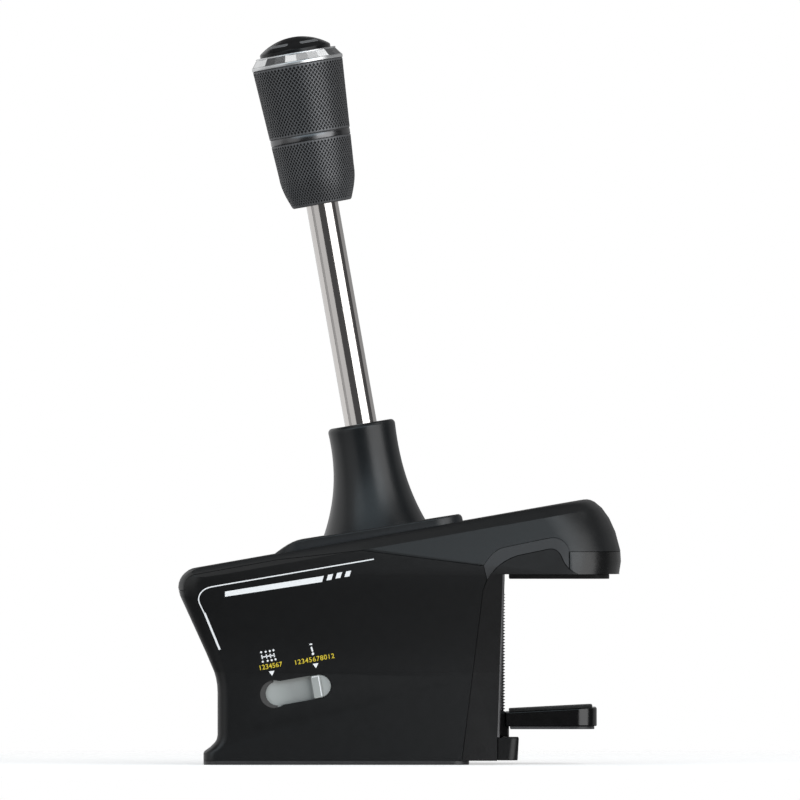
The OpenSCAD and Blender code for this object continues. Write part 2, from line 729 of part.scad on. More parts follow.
module lever_shaft() {
    low = 5 - pivot_depth;
    color("#c8cacd") at_deck() rotate_extrude() polygon([[0, low], [shaft_r - 0.5, low], [shaft_r, low + 0.5],
        [shaft_r, shaft_top - 1], [shaft_r - 1, shaft_top], [0, shaft_top]]);
}
// A ball-shaped shell about the pivot, with a hub that grips the shaft
module dust_dome() {
    color("#151617") at_pivot() difference() {
        union() {
            difference() {
                sphere(r = dome_r, $fn = 64);
                sphere(r = dome_r - dome_wall, $fn = 64);
                translate([-far / 2, -far / 2, dome_r * cos(dome_skirt) - far]) cube(far);
                translate([-far / 2, -far / 2, hub_z + 9]) cube(far);
            }
            translate([0, 0, hub_z + 6]) cylinder(r = sqrt(pow(dome_r - 1, 2) - pow(hub_z + 9, 2)), h = 3);
            translate([0, 0, hub_z]) cylinder(r = shaft_r + 4, h = 9);
        }
        cylinder(r = shaft_r + fit, h = far);
    }
}
// The shroud's foot sits forward of the lever, so it leans a little less than the lever in it
function shroud_out(t) = shroud_r + (shroud_foot_r - shroud_r) * pow(t, 2.3);
module lever_shroud() {
    steps = 10;
    round = 2;
    skin = [for (i = [0:steps]) let (t = i / steps) [shroud_out(t), -round - t * (boot_h - round)]];
    color("#161719") at_deck() translate([0, 0, shroud_top]) difference() {
        rotate([0, boot_lean, 0]) rotate_extrude() polygon(concat([[4, 0]],
            arc([shroud_r - round, -round], round, 90, 15, 4), skin,
            [for (i = [steps:-1:2]) skin[i] - [wall - 0.5, 0]], [[shaft_r + 2, -8], [4, -8]]));
        translate([0, 0, -20]) cylinder(r = shaft_r + fit, h = 40);
    }
}
// The knob's outline, from its lower end to the collar
knob_mid = knob_z + grip_flare;
function grip_at(z) = z < knob_mid ?
    grip_low_r + (grip_mid_r - grip_low_r) * sin(90 * (z - knob_z) / grip_flare) :
    grip_mid_r + (grip_r - grip_mid_r) * (z - knob_mid) / (grip_top - knob_mid);
module knob_ring(z0, z1, levels, cut) {
    skin = [for (z = levels) [grip_at(z) - cut, z]];
    at_deck() rotate_extrude() polygon(concat([[insert_r + fit, z0]], skin, [[insert_r + fit, z1]]));
}
module grip_lower() {
    flare = [for (i = [0:6]) knob_z + i * grip_flare / 6];
    color("#202123") knob_ring(knob_z, band[0], concat(flare, [band[0]]), 0);
}
module grip_band() { color("#131415") knob_ring(band[0], band[1], [band[0], band[1]], band_cut); }
module grip_upper() { color("#202123") knob_ring(band[1], grip_top, [band[1], grip_top], 0); }
module knob_insert() {
    color("#a9863f") at_deck() difference() {
        translate([0, 0, knob_z + 0.5]) cylinder(r = insert_r, h = grip_top - knob_z - 0.5);
        cylinder(r = shaft_r + fit, h = shaft_top + fit);
    }
}
facet_z = grip_top + collar_h / 4;
collar_top = grip_top + collar_h;
cap_r = 17.8;
lip_over = 0.2;
lip_in = 0.1;
module facet_collar() {
    gon = [for (i = [0:collar_facets - 1]) let (a = (i + 0.5) * 360 / collar_facets) [cos(a), sin(a)]];
    color("#c3c6ca") at_deck() difference() {
        union() {
            translate([0, 0, grip_top])
                cylinder(r1 = grip_r + lip_over, r2 = collar_r - lip_in, h = facet_z - grip_top);
            loft([for (s = [[facet_z, collar_r], [facet_z + 1, collar_r], [collar_top, collar_r - 3.5]])
                [for (p = gon) [p[0] * s[1], p[1] * s[1], s[0]]]]);
        }
        translate([0, 0, collar_top - cap_sink]) cylinder(r = cap_r + fit, h = far);
        translate([0, 0, grip_top - 1]) cylinder(r = stub_r + fit, h = far);
    }
}
module knob_cap() {
    color("#0c0c0d") at_deck() difference() {
        union() {
            intersection() {
                translate([0, 0, collar_top - cap_sink]) cylinder(r = cap_r, h = far);
                translate([0, 0, collar_top + cap_h - dome_ball]) sphere(r = dome_ball, $fn = 64);
            }
            translate([0, 0, grip_top]) cylinder(r = stub_r, h = collar_h - cap_sink + 1);
        }
        mark_bars(0.05);
    }
}
// A ring of dashes, let into the cap
module mark_bars(grow) {
    half = mark_span / 2 + grow / mark_r * 180 / PI;
    wedge = concat([[0, 0]], arc([0, 0], 2 * cap_r, -half, half, 2));
    intersection() {
        for (i = [1:mark_count]) rotate([0, 0, mark_from + i * 360 / mark_count])
            translate([0, 0, collar_top]) linear_extrude(2 * cap_h) polygon(wedge);
        translate([0, 0, collar_top]) tube(mark_r + mark_w / 2 + grow, mark_r - mark_w / 2 - grow, 2 * cap_h);
        translate([0, 0, collar_top + cap_h - dome_ball]) difference() {
            sphere(r = dome_ball + 5 * grow, $fn = 64);
            sphere(r = dome_ball - mark_depth - grow, $fn = 64);
        }
    }
}
module gate_marks() { color("#b9bcc0") at_deck() mark_bars(0); }
module main_pcb() {
    color("darkgreen") translate([board_from[0], board_from[1], board_z])
        cube([board_l, usb_at[1] - 2 - board_from[1], board_t]);
}
module pcb_posts() {
    color("#c9a94f") for (p = board_spots) translate([p[0], p[1], plate_t])
        cylinder(r = 3, h = board_z - plate_t);
}
module usb_socket() {
    color("silver") translate(usb_at + [0, -7.3, 1.6]) along_y() difference() {
        linear_extrude(7.3) slot(4.5, 1.6);
        translate([0, 0, 1.2]) linear_extrude(7.3) slot(4.15, 1.25);
    }
}
// The slider: a strip behind the wall that covers the window at both ends of its travel, and a ridge
module mode_slider() {
    left = -window_l / 2 - slide_gap;
    right = window_l / 2 + slide_travel + slide_gap;
    color("#b7babd") at_window() {
        translate([left, wall + slide_gap, -strip_h / 2]) cube([right - left, strip_t, strip_h]);
        translate([ridge_x - ridge_w / 2, -ridge_out, slide_gap - window_h / 2])
            cube([ridge_w, wall + slide_gap + ridge_out + strip_t / 2, window_h - 2 * slide_gap]);
        // The raised end behind the ridge
        intersection() {
            translate([0, pad_in, 0]) along_y() linear_extrude(wall + slide_gap - pad_in + strip_t / 2)
                slot(window_l / 2 - slide_gap, window_h / 2 - slide_gap);
            translate([ridge_x, 0, -far / 2]) cube(far);
        }
    }
}
module mode_magnet() {
    color("gray") at_window() translate([ridge_x, wall + slide_gap + strip_t, 0]) along_y()
        cylinder(r = 3, h = 1.5);
}
module mode_pcb() {
    color("darkgreen") at_window() translate([-24, wall + rail_d, -strip_h / 2 - 2])
        cube([40, board_t, strip_h + 4]);
}
module clamp_screw() {
    color("#7d8186") translate([screw_x, 0, 0]) difference() {
        rotate_extrude() polygon([[0, screw_low], [journal_r, screw_low], [journal_r, clip_z - fit],
            [journal_r - 0.5, clip_z - fit], [journal_r - 0.5, clip_z + clip_t + fit],
            [journal_r, clip_z + clip_t + fit], [journal_r, thread_z], [screw_r, thread_z],
            [screw_r, thread_top - 0.2], [journal_r, thread_top - 0.2],
            [journal_r, journal_top], [0, journal_top]]);
        cylinder(r = 2.31, h = 7, $fn = 6);
    }
}
module thrust_washer() {
    color("silver") translate([screw_x, 0, foot_top - washer_t])
        tube(washer_r, journal_r + slide_gap, washer_t);
}
module screw_clip() {
    color("#3a3b3d") translate([screw_x, 0, clip_z]) tube(clip_r, journal_r - 0.5 + fit, clip_t);
}
jaw_base = 19.1;
jaw_rise = 3;
jaw_pad_t = 1.5;
arm_x = screw_x + 4.2;
function jaw_top(x) = carriage_z + carriage_h + (x - arm_x) * tan(jaw_rise);
module clamp_jaw() {
    color("#1e1f21") difference() {
        union() {
            translate([channel_x + slide_gap, -carriage_half, carriage_z])
                cube([carriage_front - channel_x - slide_gap, 2 * carriage_half, carriage_h]);
            intersection() {
                linear_extrude(far) round_end(arm_x, jaw_end, clamp_half - 2, pad_corner);
                side([[arm_x, jaw_base], [jaw_end, jaw_base], [jaw_end, jaw_top(jaw_end)],
                    [arm_x, jaw_top(arm_x)]], far);
            }
        }
        translate([screw_x, 0, 0]) cylinder(r = screw_r + 0.5, h = far);
        nut_block(fit);
    }
}
// A flanged nut let into the carriage from below
module nut_block(grow) {
    translate([screw_x - 6 - grow, -9 - grow, carriage_z - grow])
        cube([12 + 2 * grow, 18 + 2 * grow, 9 + grow]);
}
module jaw_nut() {
    color("#b08d57") difference() {
        nut_block(0);
        translate([screw_x, 0, 0]) cylinder(r = screw_r + run_fit, h = far);
    }
}
module jaw_pad() {
    color("#141414") intersection() {
        linear_extrude(far) round_end(carriage_front, jaw_end - 2.2, clamp_half - pad_inset, pad_corner - 1);
        side([[carriage_front, jaw_top(carriage_front)], [jaw_end, jaw_top(jaw_end)],
            [jaw_end, jaw_top(jaw_end) + jaw_pad_t],
            [carriage_front, jaw_top(carriage_front) + jaw_pad_t]], far);
    }
}
module jaw_plate() {
    color("#3a3b3d") translate([0, 0, jaw_base - jaw_pad_t]) linear_extrude(jaw_pad_t)
        round_end(carriage_front + 0.5, jaw_end - 1.2, clamp_half - 3, pad_corner - 1);
}
module rig_nuts() {
    color("silver") for (p = rig_spots) translate([p[0], p[1], plate_t])
        tube(rig_hole_r + 2.2, rig_hole_r, 5);
}
module base_screws() { color("#3a3b3d") sunk_screws(base_spots, 9); }
module frame_screws() { color("#3a3b3d") sunk_screws(frame_spots, frame_screw_l); }
module mechanism_screws() { color("#3a3b3d") sunk_screws(mech_spots, 2); }

base_plate();
lower_housing();
top_cover();
jaw_arch();
nose_chin();
clamp_frame();
foot_block();
upper_pad();
bezel();
wiper_ring();
mechanism_frame();
gate_plate();
shift_bushes();
frame_magnets();
sensor_posts();
shift_sensor_pcb();
main_pcb();
pcb_posts();
usb_socket();
mode_pcb();
thrust_washer();
rig_nuts();
base_screws();
frame_screws();
mechanism_screws();
gate_screws();
foot_screws();
gimbal();
shift_axles();
gate_bushes();
gimbal_magnets();
shift_magnet();
gate_sensor_pcb();
gate_axle();
gate_magnet();
pivot_block();
finger();
lever_set_screw();
lever_shaft();
dust_dome();
lever_shroud();
knob_insert();
grip_lower();
grip_band();
grip_upper();
facet_collar();
knob_cap();
gate_marks();
mode_slider();
mode_magnet();
clamp_screw();
screw_clip();
clamp_jaw();
jaw_nut();
jaw_pad();
jaw_plate();
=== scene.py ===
# %% [markdown]
# # A gear shifter for a racing simulator
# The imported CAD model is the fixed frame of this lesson: every piece below is modelled in metres, in the
# frame's own coordinates, so it goes where the frame says and nothing is fitted afterwards.

# %% Load the frame
import json
import math
import bpy
from mathutils import Matrix, Vector


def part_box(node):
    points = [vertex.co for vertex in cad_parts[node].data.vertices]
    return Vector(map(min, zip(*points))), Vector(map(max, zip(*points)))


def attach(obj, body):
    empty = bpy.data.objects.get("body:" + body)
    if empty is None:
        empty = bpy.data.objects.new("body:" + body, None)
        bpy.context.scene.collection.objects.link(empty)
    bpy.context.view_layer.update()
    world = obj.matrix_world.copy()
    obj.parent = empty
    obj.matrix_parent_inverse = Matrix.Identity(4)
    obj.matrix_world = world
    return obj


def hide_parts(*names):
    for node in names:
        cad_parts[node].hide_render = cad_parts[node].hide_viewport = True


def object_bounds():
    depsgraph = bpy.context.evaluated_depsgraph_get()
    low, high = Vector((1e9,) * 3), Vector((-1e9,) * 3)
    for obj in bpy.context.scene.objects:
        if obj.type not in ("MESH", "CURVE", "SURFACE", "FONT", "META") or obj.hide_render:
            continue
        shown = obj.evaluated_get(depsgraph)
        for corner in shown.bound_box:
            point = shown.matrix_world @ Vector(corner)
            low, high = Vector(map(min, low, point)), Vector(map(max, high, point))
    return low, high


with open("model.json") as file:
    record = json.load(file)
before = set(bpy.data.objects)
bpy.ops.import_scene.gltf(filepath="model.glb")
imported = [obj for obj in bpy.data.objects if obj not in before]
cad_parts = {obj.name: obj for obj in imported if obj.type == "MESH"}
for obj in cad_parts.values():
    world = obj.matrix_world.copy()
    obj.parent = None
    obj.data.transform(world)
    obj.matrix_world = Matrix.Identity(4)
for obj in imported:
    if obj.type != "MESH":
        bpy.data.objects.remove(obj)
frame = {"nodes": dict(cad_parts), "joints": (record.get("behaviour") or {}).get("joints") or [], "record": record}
cad_box = [[float(v) for v in corner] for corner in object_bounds()]
MM = 0.001
joints = {joint["name"]: joint for joint in frame["joints"]}
groups = frame["record"]["behaviour"]["bodies"]
body_of = {node: body for body, nodes in groups.items() for node in nodes}
PIVOT_DEPTH = 30.0
tilt = math.atan2(joints["gate_pivot"]["axis"][2], joints["gate_pivot"]["axis"][0])
pivot = Vector(joints["shift_pivot"]["pos_m"])
LEAN = Matrix.Rotation(-tilt, 4, "Y")
LEVER = Matrix.Translation(pivot) @ LEAN @ Matrix.Translation((0, 0, PIVOT_DEPTH * MM))
print(len(body_of), "nodes in", len(groups), "bodies; box", cad_box)

# %% [markdown]
# ## The camera
# The photograph is a square side view from far away, so the camera stands sixteen metres off with a long
# lens. One pixel of the photograph is half a millimetre on the object.

# %% Camera
PIXEL = 0.5 * MM
PHOTO_SIZE = 800
PHOTO_ORIGIN = (337.0, 763.75)
CAMERA_AWAY = 16.0


def at_pixel(px, py):
    """X and Z in the frame of a pixel of the photograph."""
    return (px - PHOTO_ORIGIN[0]) * PIXEL, (PHOTO_ORIGIN[1] - py) * PIXEL


eye_x, eye_z = at_pixel(PHOTO_SIZE / 2, PHOTO_SIZE / 2)
lens = bpy.data.cameras.new("camera")
lens.lens = lens.sensor_width * CAMERA_AWAY / (PHOTO_SIZE * PIXEL)
camera = bpy.data.objects.new("camera", lens)
camera.location = (eye_x, -CAMERA_AWAY, eye_z)
camera.rotation_euler = (math.radians(90), 0, 0)
bpy.context.scene.collection.objects.link(camera)
bpy.context.scene.camera = camera
print("lens", round(lens.lens), "mm, looking at", round(eye_x, 4), round(eye_z, 4))

# %% [markdown]
# ## Helpers for modelling
# An operator works on what is selected, so `take` selects one piece and `edit` opens it. The frame's nodes
# come in selected, and everything is deselected first. `pick` then selects faces, edges or points in code.

# %% Selecting and editing


def take(piece):
    """Makes a piece the only one selected."""
    if bpy.context.object and bpy.context.object.mode != "OBJECT":
        bpy.ops.object.mode_set(mode="OBJECT")
    bpy.ops.object.select_all(action="DESELECT")
    piece.select_set(True)
    bpy.context.view_layer.objects.active = piece
    return piece


def edit(piece, kind="FACE", everything=True):
    """Opens a piece in edit mode, with all of it selected or nothing."""
    take(piece)
    bpy.ops.object.mode_set(mode="EDIT")
    bpy.ops.mesh.select_mode(type=kind)
    bpy.ops.mesh.select_all(action="SELECT" if everything else "DESELECT")


def done():
    """Closes edit mode."""
    bpy.ops.object.mode_set(mode="OBJECT")


def pick(piece, kind, test):
    """Opens a piece with only those points, edges or faces selected that pass the test."""
    edit(piece, kind, everything=False)
    done()
    mesh = piece.data
    parts = {"VERT": mesh.vertices, "EDGE": mesh.edges, "FACE": mesh.polygons}[kind]
    count = 0
    for part in parts:
        part.select = bool(test(part))
        count += part.select
    bpy.ops.object.mode_set(mode="EDIT")
    return count


def apply(piece, kind, **settings):
    """Adds a modifier with these settings and applies it."""
    take(piece)
    modifier = piece.modifiers.new(kind.lower(), kind)
    for key, value in settings.items():
        setattr(modifier, key, value)
    bpy.ops.object.modifier_apply(modifier=modifier.name)


def named(name):
    """The primitive that was just added, under its name, with everything else deselected."""
    piece = bpy.context.object
    piece.name = name
    piece.data.name = name
    return take(piece)


def place(piece, matrix):
    """Moves a piece that was modelled upright to its place, and applies it to the mesh."""
    take(piece)
    piece.matrix_world = matrix
    bpy.ops.object.transform_apply(location=True, rotation=True, scale=True)


def smooth(piece, degrees=35):
    """Shades a piece smooth, but for edges that are sharper than that."""
    take(piece)
    bpy.ops.object.shade_smooth_by_angle(angle=math.radians(degrees))


def twin(piece, name):
    """A copy of a piece with a mesh of its own."""
    copy = bpy.data.objects.new(name, piece.data.copy())
    bpy.context.scene.collection.objects.link(copy)
    return take(copy)


def join(pieces):
    """Joins pieces into the first one."""
    take(pieces[0])
    for piece in pieces[1:]:
        piece.select_set(True)
    bpy.ops.object.join()
    return bpy.context.object


def triangles(piece):
    return sum(len(face.vertices) - 2 for face in piece.data.polygons)


print("helpers ready")

# %% [markdown]
# Most round pieces of the shifter are turned parts, so they are made as on a lathe: one point is extruded
# along the outline and the outline is spun round the axis. `lathe` takes radius and height in millimetres.

# %% Turning and dressing
LATHE_STEPS = 128


def chain(name, points):
    """A piece that is one point, extruded from place to place."""
    bpy.ops.object.select_all(action="DESELECT")
    bpy.ops.mesh.primitive_plane_add(size=MM)
    piece = named(name)
    edit(piece, "VERT")
    bpy.ops.mesh.merge(type="CENTER")
    bpy.ops.transform.translate(value=points[0])
    for a, b in zip(points, points[1:]):
        bpy.ops.mesh.extrude_vertices_move(TRANSFORM_OT_translate={"value": b - a})
    done()
    return piece


def lathe(name, outline, steps=LATHE_STEPS, closed=False):
    """A turned piece: an outline of radius and height, spun round the upright axis."""
    points = [Vector((r * MM, 0, z * MM)) for r, z in outline]
    piece = chain(name, points + points[:1] if closed else points)
    edit(piece, "VERT")
    bpy.ops.mesh.spin(steps=steps, angle=2 * math.pi, center=(0, 0, 0), axis=(0, 0, 1))
    bpy.ops.mesh.select_all(action="SELECT")
    bpy.ops.mesh.remove_doubles(threshold=0.002 * MM)
    bpy.ops.mesh.normals_make_consistent(inside=False)
    done()
    return piece


def arc(cx, cz, r, start, end, count):
    """Points along an arc of an outline."""
    turns = [math.radians(start + (end - start) * i / count) for i in range(count + 1)]
    return [(cx + r * math.cos(a), cz + r * math.sin(a)) for a in turns]


def stands_for(piece, *nodes):
    """The piece hides these nodes and rides on their body."""
    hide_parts(*nodes)
    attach(piece, body_of[nodes[0]])


def reach(points):
    """The box of some points, in millimetres."""
    low = [min(point[i] for point in points) / MM for i in range(3)]
    return low + [max(point[i] for point in points) / MM for i in range(3)]


def over_deck(point):
    """Height of a point over the deck."""
    return (LEVER.inverted() @ point).z


def dressed(node, name, edge=0.0, sharp=30, rounds=3, above=None, weigh="FACE_AREA"):
    """A copy of a node, merged, with its triangles joined into flat faces and its sharp edges rounded, or
    only those of them that lie higher than that over the deck."""
    piece = twin(frame["nodes"][node], name)
    piece.data.materials.clear()
    edit(piece)
    bpy.ops.mesh.customdata_custom_splitnormals_clear()
    bpy.ops.mesh.remove_doubles(threshold=0.005 * MM)
    bpy.ops.mesh.dissolve_limited(angle_limit=math.radians(0.4))
    done()
    if above is not None:
        edit(piece, "EDGE", everything=False)
        bpy.ops.mesh.edges_select_sharp(sharpness=math.radians(sharp))
        done()
        points = piece.data.vertices
        chosen = {line.index for line in piece.data.edges if line.select
                  and all(over_deck(points[i].co) > above * MM for i in line.vertices)}
        pick(piece, "EDGE", lambda line: line.index in chosen)
        bpy.ops.mesh.bevel(offset=edge * MM, segments=rounds, affect="EDGES", clamp_overlap=False)
        done()
    elif edge:
        apply(piece, "BEVEL", width=edge * MM, segments=rounds, limit_method="ANGLE", miter_outer="MITER_ARC",
              angle_limit=math.radians(sharp), use_clamp_overlap=False)
    smooth(piece, sharp + 5)
    apply(piece, "WEIGHTED_NORMAL", keep_sharp=True, mode=weigh)
    stands_for(piece, node)
    old, new = reach(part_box(node)), reach([point.co for point in piece.data.vertices])
    moved = max(abs(a - b) for a, b in zip(old, new))
    print(name, triangles(piece), "triangles, box moved", round(moved, 3), "mm")
    return piece


print("lathe with", LATHE_STEPS, "steps")

# %% [markdown]
# ## Finishes
# Each finish is a node material on object coordinates: noise at the scale of the real grain varies the
# colour and the roughness, and a bump gives the surface its tooth. What is the same all over is set on
# the shader's own socket.

# %% Tools for finishes


class Finish:
    """A material with short names for the nodes that the finishes share."""

    def __init__(self, name, colour, roughness, metallic=0.0):
        self.material = bpy.data.materials.new(name)
        self.material.use_nodes = True
        self.tree = self.material.node_tree
        self.shader = self.tree.nodes["Principled BSDF"]
        self.set("Base Color", (*colour, 1))
        self.set("Roughness", roughness)
        self.set("Metallic", metallic)

    def set(self, socket, value):
        self.shader.inputs[socket].default_value = value

    def node(self, kind, **settings):
        node = self.tree.nodes.new("ShaderNode" + kind)
        for key, value in settings.items():
            setattr(node, key, value)
        return node

    def link(self, output, socket):
        self.tree.links.new(output, socket)

    def noise(self, per_metre, detail=3.0, stretch=(1, 1, 1), turn=(0, 0, 0)):
        """Noise with that many grains to the metre, stretched and turned on the piece."""
        where = self.node("TexCoord")
        mapping = self.node("Mapping")
        mapping.inputs["Scale"].default_value = stretch
        mapping.inputs["Rotation"].default_value = turn
        self.link(where.outputs["Object"], mapping.inputs["Vector"])
        noise = self.node("TexNoise")
        noise.inputs["Scale"].default_value = per_metre
        noise.inputs["Detail"].default_value = detail
        self.link(mapping.outputs["Vector"], noise.inputs["Vector"])
        return noise.outputs["Fac"]

    def between(self, value, low, high, start=0.3, end=0.7):
        """Maps the span from start to end of a value to the span from low to high."""
        spread = self.node("MapRange")
        for socket, number in zip(("From Min", "From Max", "To Min", "To Max"), (start, end, low, high)):
            spread.inputs[socket].default_value = number
        self.link(value, spread.inputs["Value"])
        return spread.outputs["Result"]

    def blend(self, value, first, second):
        """Goes from the first colour to the second with a value; either may be another node's output."""
        mix = self.node("Mix", data_type="RGBA")
        self.link(value, mix.inputs["Factor"])
        for socket, colour in zip((mix.inputs[6], mix.inputs[7]), (first, second)):
            if isinstance(colour, tuple):
                socket.default_value = (*colour, 1)
            else:
                self.link(colour, socket)
        return mix.outputs[2]

    def edges(self, start=0.52, end=0.62):
        """A value that rises to 1 along convex edges."""
        shape = self.node("NewGeometry")
        return self.between(shape.outputs["Pointiness"], 0, 1, start, end)

    def colour(self, output):
        self.link(output, self.shader.inputs["Base Color"])

    def roughness(self, output):
        self.link(output, self.shader.inputs["Roughness"])

    def bump(self, height, distance, strength=1.0):
        bump = self.node("Bump")
        bump.inputs["Distance"].default_value = distance * MM
        bump.inputs["Strength"].default_value = strength
        self.link(height, bump.inputs["Height"])
        self.link(bump.outputs["Normal"], self.shader.inputs["Normal"])


def wear(piece, finish):
    """Gives a piece a finish all over."""
    piece.data.materials.clear()
    piece.data.materials.append(finish.material)
    return piece


print("finish tools ready")

# %% [markdown]
# The shells are moulded plastic with a fine spark-eroded grain: a dark, slightly cool black whose
# roughness changes a little from place to place. Convex edges are coloured lighter: on most shells where
# handling has polished them, and on the bezel nine times lighter, which is a painted highlight along its top edge.

# %% Moulded plastics


def moulded(name, colour, roughness, grain=0.02, per_metre=2600, vary=0.02, edge_wear_and_highlight=1.7):
    finish = Finish(name, colour, roughness)
    cloud = finish.noise(38, 4)
    dark, light = tuple(0.92 * c for c in colour), tuple(1.08 * c for c in colour)
    worn_and_highlit_edge = tuple(edge_wear_and_highlight * c for c in colour)
    # convex edges turn lighter: wear on most shells, a painted highlight on the bezel
    finish.colour(finish.blend(finish.edges(), finish.blend(cloud, dark, light), worn_and_highlit_edge))
    finish.roughness(finish.between(finish.noise(240, 5), roughness - vary, roughness + vary))
    finish.bump(finish.noise(per_metre, 2), grain)
    return finish


shell_black = moulded("shell_black", (0.0045, 0.0047, 0.005), 0.37)
jaw_black = moulded("jaw_black", (0.0009, 0.0009, 0.001), 0.2, grain=0.002)
jaw_black.set("Specular IOR Level", 0.65)
chin_black = moulded("chin_black", (0.0038, 0.0039, 0.0041), 0.27, grain=0.005)
cover_black = moulded("cover_black", (0.0052, 0.0058, 0.0063), 0.38, grain=0.012)
# the bezel's edges are nine times lighter: a painted highlight along its top edge
bezel_black = moulded("bezel_black", (0.0045, 0.005, 0.0055), 0.36, grain=0.008, edge_wear_and_highlight=9)
arch_black = moulded("arch_black", (0.019, 0.0193, 0.0205), 0.5)
shroud_black = moulded("shroud_black", (0.0075, 0.009, 0.0102), 0.31, grain=0.0012, per_metre=3600)
slider_grey = moulded("slider_grey", (0.285, 0.298, 0.29), 0.42, grain=0.01)
inlay_grey = moulded("inlay_grey", (0.16, 0.16, 0.162), 0.4, grain=0.008)
print("moulded plastics ready")

# %% [markdown]
# The clamp is a powder-coated casting, which has a finer, drier orange peel than plastic. Rubber is the
# driest of all, with a soft sheen.

# %% Coated metal and rubber


def coated(name, colour, roughness):
    finish = Finish(name, colour, roughness)
    speck = finish.noise(900, 3)
    dark, light = tuple(0.8 * c for c in colour), tuple(1.25 * c for c in colour)
    bare = tuple(2.2 * c for c in colour)
    finish.colour(finish.blend(finish.edges(0.54, 0.66), finish.blend(speck, dark, light), bare))
    finish.roughness(finish.between(finish.noise(160, 4), roughness - 0.06, roughness + 0.06))
    finish.bump(finish.noise(1500, 1), 0.025)
    return finish


def rubber(name, colour):
    finish = Finish(name, colour, 0.72)
    finish.set("Sheen Weight", 0.08)
    dark, light = tuple(0.75 * c for c in colour), tuple(1.3 * c for c in colour)
    finish.colour(finish.blend(finish.noise(70, 6), dark, light))
    finish.roughness(finish.between(finish.noise(420, 3), 0.64, 0.8))
    finish.bump(finish.noise(1900, 4), 0.04)
    return finish


clamp_black = coated("clamp_black", (0.006, 0.0057, 0.0058), 0.48)
clamp_black.set("Specular IOR Level", 0.3)
# lighter than the casting: a painted highlight on the column's rolled edge
edge_painted_highlight = coated("edge_painted_highlight", (0.05, 0.048, 0.05), 0.3)
plate_black = coated("plate_black", (0.03, 0.03, 0.0315), 0.42)
screw_black = coated("screw_black", (0.03, 0.03, 0.031), 0.35)
pad_black = rubber("pad_black", (0.006, 0.006, 0.0062))
# near black with no gloss: painted shadow for the seam under the arch
seam_painted_shadow = rubber("seam_painted_shadow", (0.0008, 0.0008, 0.0009))
seam_painted_shadow.set("Specular IOR Level", 0.08)
seam_painted_shadow.set("Sheen Weight", 0.0)
print("coated metal and rubber ready")

# %% [markdown]
# The metals are told apart by how they were worked. The lever's bar is ground and polished along its
# length, the collar is turned and milled, the grip is knurled and anodised black, and the parts inside
# are plain steel, cast aluminium and brass.

# %% Metals
ALONG_LEVER = (0, tilt, 0)


def metal(name, colour, roughness, per_metre, stretch, tooth, turn=(0, 0, 0), vary=0.3):
    finish = Finish(name, colour, roughness, 1.0)
    streak = finish.noise(per_metre, 3, stretch, turn)
    dark, light = tuple(0.9 * c for c in colour), tuple(min(1.0, 1.06 * c) for c in colour)
    finish.colour(finish.blend(finish.noise(60, 5, stretch, turn), dark, light))
    finish.roughness(finish.between(streak, (1 - vary) * roughness, (1 + vary) * roughness))
    if tooth:
        finish.bump(streak, tooth)
    return finish


bar_steel = metal("bar_steel", (0.74, 0.715, 0.695), 0.1, 900, (1, 1, 0.02), 0.0012, ALONG_LEVER)
collar_silver = metal("collar_silver", (0.82, 0.83, 0.835), 0.22, 260, (0.4, 0.4, 1), 0.0, ALONG_LEVER, 0.05)
collar_satin = metal("collar_satin", (0.82, 0.83, 0.835), 0.4, 420, (0.2, 0.2, 1), 0.0004, ALONG_LEVER)
grip_black = metal("grip_black", (0.155, 0.156, 0.161), 0.5, 2200, (1, 1, 1), 0.006, ALONG_LEVER)
# the pits' darker colour is painted shade
pit_painted_shade = metal("pit_painted_shade", (0.03, 0.03, 0.031), 0.45, 2200, (1, 1, 1), 0.006, ALONG_LEVER)
band_black = metal("band_black", (0.15, 0.151, 0.155), 0.27, 1400, (0.05, 0.05, 1), 0.002, ALONG_LEVER)
for finish in (grip_black, pit_painted_shade):
    finish.set("Metallic", 0.6)
thread_steel = metal("thread_steel", (0.22, 0.22, 0.225), 0.32, 700, (1, 1, 3), 0.006)
plain_steel = metal("plain_steel", (0.52, 0.53, 0.55), 0.3, 800, (1, 1, 0.2), 0.004)
cast_aluminium = metal("cast_aluminium", (0.48, 0.49, 0.51), 0.42, 420, (1, 1, 1), 0.03)
plain_brass = metal("plain_brass", (0.68, 0.5, 0.24), 0.28, 900, (1, 1, 0.3), 0.004)
print("metals ready")

# %% [markdown]
# The cap on the knob is smooth gloss black, the printed marks are thin matt ink, and the
# boards are green solder mask over copper.

# %% Gloss, ink and boards


def gloss(name, colour):
    finish = Finish(name, colour, 0.16)
    finish.set("Specular IOR Level", 0.28)
    finish.roughness(finish.between(finish.noise(500, 5), 0.2, 0.28))
    dark, light = tuple(0.85 * c for c in colour), tuple(1.2 * c for c in colour)
    finish.colour(finish.blend(finish.noise(45, 3), dark, light))
    finish.bump(finish.noise(160, 1), 0.004)
    return finish


def ink(name, colour):
    finish = Finish(name, colour, 0.5)
    finish.colour(finish.blend(finish.noise(900, 5), tuple(0.93 * c for c in colour), colour))
    finish.roughness(finish.between(finish.noise(1500, 2), 0.44, 0.6))
    finish.bump(finish.noise(3000, 2), 0.006)
    return finish


cap_gloss = gloss("cap_gloss", (0.0075, 0.0078, 0.0085))
# white for the print, also used for the painted highlight on the slider's ridge
white_ink_and_highlight = ink("white_ink_and_highlight", (0.93, 0.94, 0.95))
ink_yellow = ink("ink_yellow", (0.78, 0.6, 0.03))
board_green = moulded("board_green", (0.015, 0.1, 0.035), 0.35)
print("gloss, ink and boards ready")
